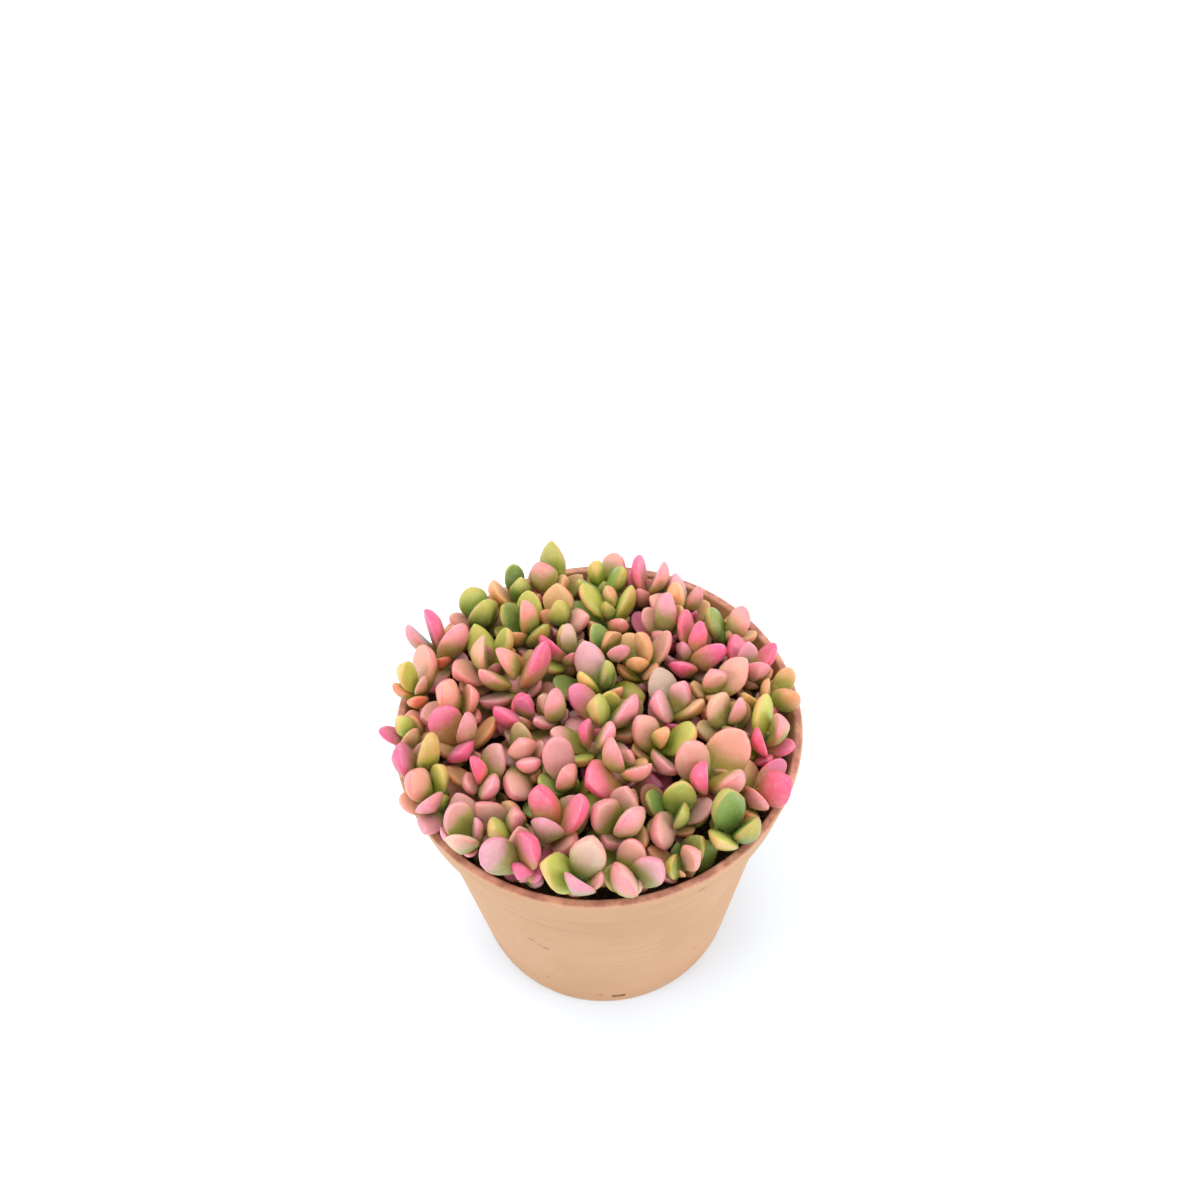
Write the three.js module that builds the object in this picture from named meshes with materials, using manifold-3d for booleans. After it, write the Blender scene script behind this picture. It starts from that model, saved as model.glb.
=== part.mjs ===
// A potted variegated sand rose: a thin-walled terracotta-coloured pot, its soil, and a dense cushion of
// small succulent plants, each one a short stem with a rosette of thick pebble-like leaves.
// Millimetres, +Z up. The origin is the centre of the pot's underside.

import * as THREE from "three";
import { mergeVertices } from "three/addons/utils/BufferGeometryUtils.js";
import Module from "manifold-3d";

const wasm = await Module();
wasm.setup();

// Pot
const POT_HEIGHT = 85;
const RIM_RADIUS = 50;
const RIM_BEVEL = 0.5;
const COLLAR_HEIGHT = 10.9;
const COLLAR_FOOT_RADIUS = 48.2;
const STEP_HEIGHT = 1;
const WALL_TOP_RADIUS = 45.8;
const BASE_RADIUS = 37.5;
const WALL_THICKNESS = 1.9;
const FLOOR_THICKNESS = 2.5;
const POT_SIDES = 40;
const DRAIN_COUNT = 6;
const DRAIN_RADIUS = 3.5;
const DRAIN_RING_RADIUS = 24;
const SLOT_COUNT = 6;
const SLOT_WIDTH = 3.7;
const SLOT_HEIGHT = 2;
const SLOT_LEVEL = 5;
const SLOT_AZIMUTH = -84;

// Soil
const SOIL_TOP = 77;
const GAP = 0.3;

// Plants, set in rings from the middle out. Angles are in degrees.
const PLANT_RINGS = [
  { count: 4, radius: 6.6, scatter: 1.6 },
  { count: 10, radius: 18.4, scatter: 1.6 },
  { count: 16, radius: 30.2, scatter: 1.6 },
  { count: 22, radius: 41, scatter: 0.9 },
];
const RING_OFFSET = 40;
const PLACE_SCATTER = 0.16;
const FIELD_SHIFT = [-1.9, -2.2];
const EDGE_RADIUS = 41.2;
const LEAN_AT_EDGE = 20;
const LEAN_POWER = 1.6;
const LEAN_SCATTER = 0.2;
const FOOT_LIMIT = 44.3;
const CROWN_LIMIT = 45.4;
const STEM_RADIUS = 1.5;
const STEM_TIP_RADIUS = 1;
const STEM_SIDES = 5;
const STEM_DEPTH = 9;
const STEM_INWARD = 0.016;
const STEM_BEND = SOIL_TOP + 1;
const CROWN_RISE_MIDDLE = 10.8;
const CROWN_RISE_EDGE = 8.6;
const CROWN_RISE_SCATTER = 1.3;
const FULL_SIDE = 205;
const FULL_SIDE_RISE = 3;
const CROWN_SPAN = 7;
const SIZE_SCATTER = 0.13;

// Leaves. A share runs along the leaf from 0 at the root to 1 at the tip.
const LEAVES_MOST = 12;
const GOLDEN_ANGLE = 137.508;
const LIFT_YOUNG = 84;
const LIFT_OLD = 30;
const LIFT_LOWEST = 8;
const LIFT_HIGHEST = 86;
const LEAF_LENGTH = 16;
const LEAF_WIDTH = 10;
const LEAF_THICKNESS = 5.8;
const YOUNG_LENGTH = 0.66;
const YOUNG_WIDTH = 0.7;
const YOUNG_THICKNESS = 0.82;
const AZIMUTH_SCATTER = 22;
const LIFT_SCATTER = 16;
const TWIST_SCATTER = 40;
const LENGTH_SCATTER = 0.12;
const WIDTH_SCATTER = 0.15;
const THICKNESS_SCATTER = 0.14;
const UPPER_SHARE = 0.36;
const LOWER_SHARE = 0.64;
const WIDEST_AT = 0.56;
const THICKEST_AT = 0.45;
const ROOT_WIDTH = 0.34;
const ROOT_THICKNESS = 0.5;
const LEAF_SECTION = [6, 174, 238, 302];
const LEAF_RINGS = [0.42, 0.8];

// Room that a leaf looks for: it is tried shorter, turned, and raised or lowered
const FEELER_SECTION = [0, 60, 120, 180, 240, 300];
const FEELER_RINGS = [0.14, 0.28, 0.42, 0.56, 0.7, 0.82, 0.92];
const BLADE_FROM = 0.42;
const BLADE_CLEARANCE = 0.1;
const WALL_CLEARANCE = 0.6;
const SOIL_CLEARANCE = 0.5;
const NEIGHBOUR_REACH = 32;
const TRY_SCALES = [1, 0.88, 0.76, 0.64];
const TRY_TURNS = [0, 12, -12, 26, -26, 42, -42, 70, -70, 105, -105, 150];
const TRY_RAISES = [0, 7, -7, 15, -15, 24];
const OVERHANG_RADIUS = 53.2;
const OPEN_SIDE = 45;
const OPEN_SIDE_GAP = 6;

// Main tones of the plants in the photograph, and how often each comes at the back left and elsewhere
const TONES = [
  { name: "leaf_pink", color: 0xd98a8e, backLeft: 2, elsewhere: 5 },
  { name: "leaf_magenta", color: 0xd0608a, backLeft: 1, elsewhere: 2 },
  { name: "leaf_peach", color: 0xd99a72, backLeft: 3, elsewhere: 4 },
  { name: "leaf_green", color: 0x8f9a4e, backLeft: 4, elsewhere: 1 },
  { name: "leaf_lime", color: 0xb9b463, backLeft: 1, elsewhere: 2 },
];

const SEED = 29;
const DEG = Math.PI / 180;

// A repeatable draw from 0 to 1, set by three whole numbers.
function draw(a, b, c) {
  let h = Math.imul(a + SEED, 0x9e3779b1) ^ Math.imul(b + 5, 0x85ebca6b) ^ Math.imul(c + 3, 0xc2b2ae35);
  h = Math.imul(h ^ (h >>> 15), 0x2c1b3c6d);
  h = Math.imul(h ^ (h >>> 12), 0x297a2d39);
  h = h ^ (h >>> 15);
  return (h >>> 0) / 4294967296;
}

function spread(a, b, c, size) {
  return (draw(a, b, c) * 2 - 1) * size;
}

// Geometry and solids

function solidOf(geometry) {
  const plain = geometry.clone();
  plain.deleteAttribute("normal");
  plain.deleteAttribute("uv");
  const merged = mergeVertices(plain, 1e-4);
  const index = Array.from(merged.index.array);
  const kept = [];
  for (let i = 0; i < index.length; i += 3) {
    const [a, b, c] = index.slice(i, i + 3);
    if (a !== b && b !== c && a !== c) kept.push(a, b, c);
  }
  return new wasm.Manifold(
    new wasm.Mesh({
      numProp: 3,
      vertProperties: new Float32Array(merged.attributes.position.array),
      triVerts: new Uint32Array(kept),
    }),
  );
}

function geometryOf(solid) {
  const mesh = solid.getMesh();
  const positions = new Float32Array(mesh.numVert * 3);
  for (let i = 0; i < mesh.numVert; i += 1) {
    const start = i * mesh.numProp;
    positions.set(mesh.vertProperties.subarray(start, start + 3), i * 3);
  }
  const geometry = new THREE.BufferGeometry();
  geometry.setAttribute("position", new THREE.BufferAttribute(positions, 3));
  geometry.setIndex(new THREE.BufferAttribute(new Uint32Array(mesh.triVerts), 1));
  geometry.computeVertexNormals();
  return geometry;
}

// A solid of revolution round Z from [radius, height] points that run up the outside.
function turned(points, sides) {
  const profile = points.map(([radius, height]) => new THREE.Vector2(radius, height));
  return solidOf(new THREE.LatheGeometry(profile, sides).rotateX(Math.PI / 2));
}

// The largest body of a solid, with any sealed hollow filled and loose scraps left out.
function mainBody(solid) {
  return solid.decompose().reduce((best, body) => (body.volume() > best.volume() ? body : best));
}

// A closed skin through rings of points, closed by a point at each end.
function skinnedSolid(rootPoint, rings, tipPoint) {
  const sides = rings[0].length;
  const positions = [rootPoint, ...rings.flat(), tipPoint].flat();
  const last = 1 + rings.length * sides;
  const index = [];
  for (let s = 0; s < sides; s += 1) {
    const t = (s + 1) % sides;
    index.push(0, 1 + t, 1 + s);
    for (let r = 0; r + 1 < rings.length; r += 1) {
      const low = 1 + r * sides;
      const high = low + sides;
      index.push(low + s, low + t, high + t, low + s, high + t, high + s);
    }
    const top = last - sides;
    index.push(last, top + s, top + t);
  }
  const geometry = new THREE.BufferGeometry();
  geometry.setAttribute("position", new THREE.Float32BufferAttribute(positions, 3));
  geometry.setIndex(index);
  return solidOf(geometry);
}

// Pot

const COLLAR_FOOT = POT_HEIGHT - COLLAR_HEIGHT;
const WALL_TOP = COLLAR_FOOT - STEP_HEIGHT;

// The pot's inner profile from the floor up, as [radius, height].
const INNER_PROFILE = [
  [BASE_RADIUS - WALL_THICKNESS + 0.4, FLOOR_THICKNESS],
  [WALL_TOP_RADIUS - WALL_THICKNESS, WALL_TOP],
  [COLLAR_FOOT_RADIUS - WALL_THICKNESS, COLLAR_FOOT + 1.4],
  [RIM_RADIUS - WALL_THICKNESS - 0.3, POT_HEIGHT - RIM_BEVEL],
];

function innerRadius(height) {
  for (let i = 0; i + 1 < INNER_PROFILE.length; i += 1) {
    const [r0, z0] = INNER_PROFILE[i];
    const [r1, z1] = INNER_PROFILE[i + 1];
    if (height <= z1) return r0 + ((r1 - r0) * (height - z0)) / (z1 - z0);
  }
  return INNER_PROFILE[INNER_PROFILE.length - 1][0];
}

function drainHole(step) {
  const angle = (step * 360 * DEG) / DRAIN_COUNT;
  const hole = new THREE.CylinderGeometry(DRAIN_RADIUS, DRAIN_RADIUS, FLOOR_THICKNESS * 3, 12);
  hole.rotateX(Math.PI / 2);
  hole.translate(DRAIN_RING_RADIUS * Math.cos(angle), DRAIN_RING_RADIUS * Math.sin(angle), 0);
  return solidOf(hole);
}

function sideSlot(step) {
  const angle = SLOT_AZIMUTH * DEG + (step * 2 * Math.PI) / SLOT_COUNT;
  const slot = new THREE.BoxGeometry(WALL_THICKNESS * 4, SLOT_WIDTH, SLOT_HEIGHT);
  slot.translate(BASE_RADIUS, 0, SLOT_LEVEL);
  slot.rotateZ(angle);
  return solidOf(slot);
}

function potSolid() {
  const outside = [
    [0, 0],
    [BASE_RADIUS - 0.5, 0],
    [BASE_RADIUS, 0.5],
    [WALL_TOP_RADIUS, WALL_TOP],
    [COLLAR_FOOT_RADIUS, COLLAR_FOOT],
    [RIM_RADIUS, POT_HEIGHT - RIM_BEVEL],
    [RIM_RADIUS - RIM_BEVEL, POT_HEIGHT],
    [RIM_RADIUS - WALL_THICKNESS, POT_HEIGHT],
  ];
  let pot = turned([...outside, ...[...INNER_PROFILE].reverse(), [0, FLOOR_THICKNESS]], POT_SIDES);
  for (let step = 0; step < DRAIN_COUNT; step += 1) pot = pot.subtract(drainHole(step));
  for (let step = 0; step < SLOT_COUNT; step += 1) pot = pot.subtract(sideSlot(step));
  return pot;
}

// Where each plant stands and how its crown leans

function plantAt(ring, place, index) {
  const { count, radius, scatter } = PLANT_RINGS[ring];
  const turn = ((place + spread(index, 0, 1, PLACE_SCATTER)) * 360) / count + ring * RING_OFFSET;
  const reach = radius + spread(index, 0, 2, scatter);
  const x = reach * Math.cos(turn * DEG) + FIELD_SHIFT[0];
  const y = reach * Math.sin(turn * DEG) + FIELD_SHIFT[1];
  const distance = Math.min(FOOT_LIMIT, Math.hypot(x, y));
  const outX = x / Math.hypot(x, y);
  const outY = y / Math.hypot(x, y);
  const edge = Math.min(1, distance / EDGE_RADIUS);
  const drop = (CROWN_RISE_MIDDLE - CROWN_RISE_EDGE) * Math.pow(edge, 2);
  const fullWards = Math.max(0, Math.cos(Math.atan2(y, x) - FULL_SIDE * DEG));
  const fullness = FULL_SIDE_RISE * Math.pow(edge, 2) * fullWards;
  const rise = CROWN_RISE_MIDDLE - drop + fullness + spread(index, 0, 5, CROWN_RISE_SCATTER);
  const lean = Math.sin(LEAN_AT_EDGE * Math.pow(edge, LEAN_POWER) * DEG);
  const strayX = spread(index, 0, 3, LEAN_SCATTER);
  const strayY = spread(index, 0, 4, LEAN_SCATTER);
  const excess = Math.max(0, lean + strayX * outX + strayY * outY - (CROWN_LIMIT - distance) / rise);
  const leanX = (lean - excess) * outX + strayX;
  const leanY = (lean - excess) * outY + strayY;
  const axis = new THREE.Vector3(leanX, leanY, Math.sqrt(1 - leanX * leanX - leanY * leanY));
  const side = new THREE.Vector3(0, 1, 0).cross(axis).normalize();
  return {
    index,
    foot: new THREE.Vector3(distance * outX, distance * outY, STEM_BEND),
    axis,
    side,
    front: axis.clone().cross(side),
    rise,
    size: 1 + spread(index, 0, 6, SIZE_SCATTER),
    spin: draw(index, 0, 8) * 360,
    leaves: [],
  };
}

function onStem(plant, along) {
  return plant.foot.clone().addScaledVector(plant.axis, along);
}

// Leaf form: u runs from 0 at the root to 1 at the tip

function widthShare(leaf, u) {
  if (u < WIDEST_AT) return ROOT_WIDTH + (1 - ROOT_WIDTH) * Math.sin((Math.PI / 2) * (u / WIDEST_AT));
  const past = Math.min(1, (u - WIDEST_AT) / (1 - WIDEST_AT));
  return Math.pow(1 - Math.pow(past, 2.5 - leaf.point), 0.52 + 0.33 * leaf.point);
}

function thicknessShare(u) {
  if (u < THICKEST_AT) {
    return ROOT_THICKNESS + (1 - ROOT_THICKNESS) * Math.sin((Math.PI / 2) * (u / THICKEST_AT));
  }
  const past = Math.min(1, (u - THICKEST_AT) / (1 - THICKEST_AT));
  return Math.pow(1 - Math.pow(past, 2.4), 0.62);
}

// The leaf's middle line at u, with its directions across the leaf and up from its face.
function leafFrame(leaf, u) {
  const start = leaf.lift - 0.3 * leaf.curve;
  const now = start + leaf.curve * u;
  const out = (Math.sin(now) - Math.sin(start)) / leaf.curve;
  const up = (Math.cos(start) - Math.cos(now)) / leaf.curve;
  const centre = leaf.root.clone();
  centre.addScaledVector(leaf.outward, leaf.length * out);
  centre.addScaledVector(leaf.plant.axis, leaf.length * up);
  const flatUp = leaf.outward.clone().multiplyScalar(-Math.sin(now));
  flatUp.addScaledVector(leaf.plant.axis, Math.cos(now));
  const flatAcross = leaf.plant.axis.clone().cross(leaf.outward);
  const across = flatAcross.clone().multiplyScalar(Math.cos(leaf.twist));
  across.addScaledVector(flatUp, Math.sin(leaf.twist));
  const face = flatUp.multiplyScalar(Math.cos(leaf.twist));
  face.addScaledVector(flatAcross, -Math.sin(leaf.twist));
  return { centre, across, face };
}

function leafPoint(leaf, frame, u, angle) {
  const sine = Math.sin(angle);
  const share = sine > 0 ? UPPER_SHARE : LOWER_SHARE;
  const x = (leaf.width / 2) * widthShare(leaf, u) * Math.cos(angle);
  const y = leaf.thickness * share * thicknessShare(u) * sine;
  return frame.centre.clone().addScaledVector(frame.across, x).addScaledVector(frame.face, y);
}

// Room for the leaves

// A set of points with the ball that holds them.
function cloudOf(points) {
  const centre = new THREE.Vector3();
  for (const point of points) centre.addScaledVector(point, 1 / points.length);
  const radius = Math.max(...points.map((point) => point.distanceTo(centre)));
  return { points, centre, radius };
}

function farthest(points, direction) {
  let best = points[0];
  let most = -Infinity;
  for (const point of points) {
    const reach = point.dot(direction);
    if (reach > most) {
      most = reach;
      best = point;
    }
  }
  return best;
}

// Whether a flat gap of the given width runs between two clouds. The vector between their nearest points
// is closed in on step by step.
function areParted(first, second, gap) {
  const between = first.centre.clone().sub(second.centre);
  if (between.length() > first.radius + second.radius + gap) return true;
  for (let step = 0; step < 24; step += 1) {
    const length = between.length();
    if (length < gap) return false;
    const near = farthest(first.points, between.clone().negate());
    const far = farthest(second.points, between);
    const reach = near.clone().sub(far);
    if (reach.dot(between) > gap * length) return true;
    const change = between.clone().sub(reach);
    const share = Math.min(1, between.dot(change) / Math.max(change.lengthSq(), 1e-9));
    between.addScaledVector(change, -share);
  }
  return false;
}

function addClouds(leaf) {
  const body = [leaf.root];
  const blade = [];
  for (const u of FEELER_RINGS) {
    const frame = leafFrame(leaf, u);
    for (const angle of FEELER_SECTION) {
      const point = leafPoint(leaf, frame, u, angle * DEG);
      body.push(point);
      if (u >= BLADE_FROM) blade.push(point);
    }
  }
  const tip = leafFrame(leaf, 1).centre;
  body.push(tip);
  blade.push(tip);
  leaf.body = cloudOf(body);
  leaf.blade = cloudOf(blade);
}

function stemCloud(plant) {
  const low = ringAround(plant.foot, STEM_RADIUS);
  const high = ringAround(onStem(plant, plant.rise), STEM_TIP_RADIUS);
  return cloudOf([...low, ...high].map((point) => new THREE.Vector3(...point)));
}

// The wall beside and above the soil, as one convex cloud for each side of the pot.
function wallClouds() {
  const section = [
    [innerRadius(SOIL_TOP), SOIL_TOP],
    [COLLAR_FOOT_RADIUS, SOIL_TOP],
    [innerRadius(POT_HEIGHT), POT_HEIGHT],
    [RIM_RADIUS, POT_HEIGHT],
  ];
  const edges = [];
  for (let side = 0; side <= POT_SIDES; side += 1) {
    const turn = (side * 2 * Math.PI) / POT_SIDES;
    edges.push(section.map(([radius, z]) => new THREE.Vector3(radius * Math.cos(turn), radius * Math.sin(turn), z)));
  }
  return edges.slice(1).map((edge, side) => cloudOf([...edges[side], ...edge]));
}

// How far out the leaves may hang over the rim. The photograph shows the pot's inside at the back right.
function overhang(point) {
  const turn = Math.atan2(point.y, point.x);
  return OVERHANG_RADIUS - OPEN_SIDE_GAP * Math.max(0, Math.cos(turn - OPEN_SIDE * DEG)) ** 2;
}

function isClearOfPot(point) {
  const radius = Math.hypot(point.x, point.y);
  if (radius > overhang(point)) return false;
  if (point.z < POT_HEIGHT + WALL_CLEARANCE) return radius < innerRadius(point.z) - WALL_CLEARANCE;
  return true;
}

function hasRoom(leaf, plants, wall) {
  const points = leaf.body.points;
  if (!points.every((point) => point.z > SOIL_TOP + SOIL_CLEARANCE && isClearOfPot(point))) return false;
  if (!wall.every((part) => areParted(leaf.body, part, GAP))) return false;
  for (const plant of plants) {
    if (plant === leaf.plant) {
      if (!plant.leaves.every((other) => areParted(leaf.blade, other.blade, BLADE_CLEARANCE))) return false;
    } else if (plant.foot.distanceTo(leaf.plant.foot) < NEIGHBOUR_REACH) {
      if (!areParted(leaf.body, plant.stem, GAP)) return false;
      if (!plant.leaves.every((other) => areParted(leaf.body, other.body, GAP))) return false;
    }
  }
  return true;
}

// Leaf number k of a plant as it would grow by itself, counted from the youngest at the top.
function plannedLeaf(plant, k) {
  const age = k / (LEAVES_MOST - 1);
  const vary = (purpose, size) => spread(plant.index, k, purpose, size);
  const grown = (young, power) => young + (1 - young) * Math.pow(age, power);
  return {
    plant,
    azimuth: plant.spin + k * GOLDEN_ANGLE + vary(21, AZIMUTH_SCATTER),
    lift: LIFT_YOUNG - (LIFT_YOUNG - LIFT_OLD) * Math.pow(age, 0.8) + vary(22, LIFT_SCATTER),
    length: LEAF_LENGTH * plant.size * (grown(YOUNG_LENGTH, 0.5) + vary(23, LENGTH_SCATTER)),
    width: LEAF_WIDTH * plant.size * (grown(YOUNG_WIDTH, 0.6) + vary(24, WIDTH_SCATTER)),
    thickness: LEAF_THICKNESS * plant.size * (grown(YOUNG_THICKNESS, 1) + vary(25, THICKNESS_SCATTER)),
    point: Math.pow(draw(plant.index, k, 26), 0.8),
    twist: vary(27, TWIST_SCATTER) * DEG,
    curve: (13 + 12 * draw(plant.index, k, 28)) * DEG,
    root: onStem(plant, plant.rise - 0.4 - CROWN_SPAN * age),
  };
}

function alteredLeaf(plan, scale, turn, raise) {
  const angle = (plan.azimuth + turn) * DEG;
  const outward = plan.plant.side.clone().multiplyScalar(Math.cos(angle));
  outward.addScaledVector(plan.plant.front, Math.sin(angle));
  const leaf = {
    ...plan,
    outward,
    lift: Math.max(LIFT_LOWEST, Math.min(LIFT_HIGHEST, plan.lift + raise)) * DEG,
    length: plan.length * scale,
    width: plan.width * scale,
    thickness: plan.thickness * scale,
  };
  addClouds(leaf);
  return leaf;
}

// The first form of the leaf that has room, or nothing where none has.
function fittedLeaf(plant, k, plants, wall) {
  const plan = plannedLeaf(plant, k);
  for (const scale of TRY_SCALES) {
    for (const turn of TRY_TURNS) {
      for (const raise of TRY_RAISES) {
        const leaf = alteredLeaf(plan, scale, turn, raise);
        if (hasRoom(leaf, plants, wall)) return leaf;
      }
    }
  }
  return null;
}

function growPlants() {
  const plants = [];
  PLANT_RINGS.forEach(({ count }, ring) => {
    for (let place = 0; place < count; place += 1) plants.push(plantAt(ring, place, plants.length));
  });
  for (const plant of plants) plant.stem = stemCloud(plant);
  const wall = wallClouds();
  for (let k = 0; k < LEAVES_MOST; k += 1) {
    for (const plant of plants) {
      const leaf = fittedLeaf(plant, k, plants, wall);
      if (leaf) plant.leaves.push(leaf);
    }
  }
  return plants;
}

// Solids of a plant and of the soil it stands in

function ringAround(centre, radius) {
  const points = [];
  for (let s = 0; s < STEM_SIDES; s += 1) {
    const angle = (s * 2 * Math.PI) / STEM_SIDES;
    points.push([centre.x + radius * Math.cos(angle), centre.y + radius * Math.sin(angle), centre.z]);
  }
  return points;
}

// The lower end of the stem, drawn in a little towards the middle of the narrowing pot.
function buriedEnd(plant, depth) {
  const inward = 1 - STEM_INWARD * depth;
  return new THREE.Vector3(plant.foot.x * inward, plant.foot.y * inward, plant.foot.z - depth);
}

function stemSolid(plant) {
  const buried = buriedEnd(plant, STEM_DEPTH);
  const top = onStem(plant, plant.rise);
  const rings = [
    ringAround(buried, STEM_RADIUS),
    ringAround(plant.foot, STEM_RADIUS),
    ringAround(top, STEM_TIP_RADIUS),
  ];
  const tip = onStem(plant, plant.rise + 0.6);
  return skinnedSolid(buried.toArray(), rings, tip.toArray());
}

function leafSolid(leaf) {
  const rings = LEAF_RINGS.map((u) => {
    const frame = leafFrame(leaf, u);
    return LEAF_SECTION.map((angle) => leafPoint(leaf, frame, u, angle * DEG).toArray());
  });
  return skinnedSolid(leaf.root.toArray(), rings, leafFrame(leaf, 1).centre.toArray());
}

function plantSolid(plant) {
  let solid = stemSolid(plant);
  for (const leaf of plant.leaves) solid = solid.add(leafSolid(leaf));
  return mainBody(solid);
}

function stemHole(plant) {
  const low = buriedEnd(plant, STEM_DEPTH + GAP);
  const radius = STEM_RADIUS + GAP / Math.cos(Math.PI / STEM_SIDES);
  const rings = [ringAround(low, radius), ringAround(plant.foot, radius)];
  return skinnedSolid(low.toArray(), rings, plant.foot.toArray());
}

function soilSolid(plants) {
  const floor = FLOOR_THICKNESS + GAP;
  const profile = [
    [0, floor],
    [innerRadius(floor) - GAP, floor],
    [innerRadius(WALL_TOP - GAP) - GAP, WALL_TOP],
    [innerRadius(SOIL_TOP) - 2 * GAP, SOIL_TOP],
    [0, SOIL_TOP],
  ];
  let soil = turned(profile, POT_SIDES / 2);
  for (const plant of plants) soil = soil.subtract(stemHole(plant));
  return soil;
}

// The whole

function toneOf(plant) {
  const zone = plant.foot.y > 6 && plant.foot.x < 8 ? "backLeft" : "elsewhere";
  let left = draw(plant.index, 0, 30) * TONES.reduce((sum, tone) => sum + tone[zone], 0);
  return TONES.find((tone) => {
    left -= tone[zone];
    return left <= 0;
  });
}

function named(name, solid, finish) {
  const material = new THREE.MeshStandardMaterial({ metalness: 0, ...finish });
  const mesh = new THREE.Mesh(geometryOf(solid), material);
  mesh.name = name;
  return mesh;
}

const plants = growPlants();
const sandRose = new THREE.Group();
sandRose.add(named("pot", potSolid(), { name: "pot", color: 0xdeb08c, roughness: 0.6 }));
sandRose.add(named("soil", soilSolid(plants), { name: "soil", color: 0x3a2a20, roughness: 0.95 }));
for (const plant of plants) {
  const name = "rosette_" + String(plant.index + 1).padStart(2, "0");
  const { name: tone, color } = toneOf(plant);
  sandRose.add(named(name, plantSolid(plant), { name: tone, color, roughness: 0.5 }));
}

export default sandRose;
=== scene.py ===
"""A potted variegated sand rose: the finished looks of a thin terracotta-coloured pot, its soil, and a dense
cushion of small succulent plants with thick pebble-like leaves. Lengths are in millimetres until a mesh is
made, and in metres from there on."""

import math

import bmesh
import bpy
import numpy as np
from mathutils import Matrix, Vector


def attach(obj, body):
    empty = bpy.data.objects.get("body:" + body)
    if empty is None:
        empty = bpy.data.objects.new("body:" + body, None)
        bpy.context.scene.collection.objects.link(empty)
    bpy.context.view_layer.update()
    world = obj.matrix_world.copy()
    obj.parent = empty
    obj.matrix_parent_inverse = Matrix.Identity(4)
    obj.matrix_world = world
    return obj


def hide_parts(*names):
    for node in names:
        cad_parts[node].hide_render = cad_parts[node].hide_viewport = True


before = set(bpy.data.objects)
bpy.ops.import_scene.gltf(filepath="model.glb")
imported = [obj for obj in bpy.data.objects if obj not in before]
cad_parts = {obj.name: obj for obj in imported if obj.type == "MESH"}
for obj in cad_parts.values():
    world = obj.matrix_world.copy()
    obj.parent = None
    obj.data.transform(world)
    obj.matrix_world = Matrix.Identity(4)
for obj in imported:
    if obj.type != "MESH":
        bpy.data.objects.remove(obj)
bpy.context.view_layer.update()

MM = 0.001

# Pot
POT_HEIGHT = 85.0
RIM_RADIUS = 50.0
RIM_ROUNDING = 0.5
COLLAR_FOOT = 74.1
COLLAR_FOOT_RADIUS = 48.2
WALL_TOP = 73.1
WALL_TOP_RADIUS = 45.8
BASE_RADIUS = 37.5
WALL_THICKNESS = 1.9
FLOOR_THICKNESS = 2.5
INNER_BASE_RADIUS = BASE_RADIUS - WALL_THICKNESS + 0.4
INNER_WALL_TOP_RADIUS = WALL_TOP_RADIUS - WALL_THICKNESS
INNER_COLLAR_FOOT = COLLAR_FOOT + 1.4
INNER_COLLAR_FOOT_RADIUS = COLLAR_FOOT_RADIUS - WALL_THICKNESS
POT_SEGMENTS = 160
WALL_SIDES = 40
DRAIN_COUNT = 6
DRAIN_RADIUS = 3.5
DRAIN_RING_RADIUS = 24.0
SLOT_COUNT = 6
SLOT_WIDTH = 3.7
SLOT_HEIGHT = 2.0
SLOT_LEVEL = 5.0
SLOT_AZIMUTH = -84.0
WALL_SLOPE = 0.11

# Soil
SOIL_TOP = 77.0
GAP = 0.3
SOIL_SEGMENTS = 110
SOIL_RINGS = 34

# Plants, set in rings from the middle out: how many, how far out, and how much that varies
PLANT_RINGS = [(4, 6.6, 1.6), (10, 18.4, 1.6), (16, 30.2, 1.6), (22, 41.0, 0.9)]
RING_OFFSET = 40.0
PLACE_SCATTER = 0.16
FIELD_SHIFT = (-1.9, -2.2)
EDGE_RADIUS = 41.2
LEAN_AT_EDGE = 20.0
LEAN_POWER = 1.6
LEAN_SCATTER = 0.2
FOOT_LIMIT = 44.3
CROWN_LIMIT = 45.4
STEM_RADIUS = 1.5
STEM_TIP_RADIUS = 1.0
STEM_SIDES = 5
STEM_BEND = SOIL_TOP + 1
STEM_DEPTH = 3.0
TUBE_RINGS = 6
TUBE_SIDES = 10
CROWN_RISE_MIDDLE = 10.8
CROWN_RISE_EDGE = 8.6
CROWN_RISE_SCATTER = 1.3
CROWN_SPAN = 7.0
FULL_SIDE = 205.0
FULL_SIDE_RISE = 3.0
SIZE_SCATTER = 0.13

# Leaves. A share runs along the leaf from 0 at the root to 1 at the tip.
LEAVES_MOST = 12
GOLDEN_ANGLE = 137.508
TOP_LEAF_DEPTH = 0.4
LIFT_YOUNG = 84.0
LIFT_OLD = 30.0
LIFT_LOWEST = 8.0
LIFT_HIGHEST = 86.0
LIFT_POWER = 0.8
LEAF_LENGTH = 16.0
LEAF_WIDTH = 10.0
LEAF_THICKNESS = 5.8
YOUNG_LENGTH = 0.66
YOUNG_WIDTH = 0.7
YOUNG_THICKNESS = 0.82
LENGTH_POWER = 0.5
WIDTH_POWER = 0.6
UPPER_SHARE = 0.36
LOWER_SHARE = 0.64
WIDEST_AT = 0.56
THICKEST_AT = 0.45
ROOT_WIDTH = 0.34
ROOT_THICKNESS = 0.5
WIDTH_FALL = 2.5
WIDTH_ROUNDING = 0.52
POINTED_ROUNDING = 0.33
THICKNESS_FALL = 2.4
THICKNESS_ROUNDING = 0.62
SECTION_POWER = 1.15
CURVE_LAG = 0.3

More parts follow.
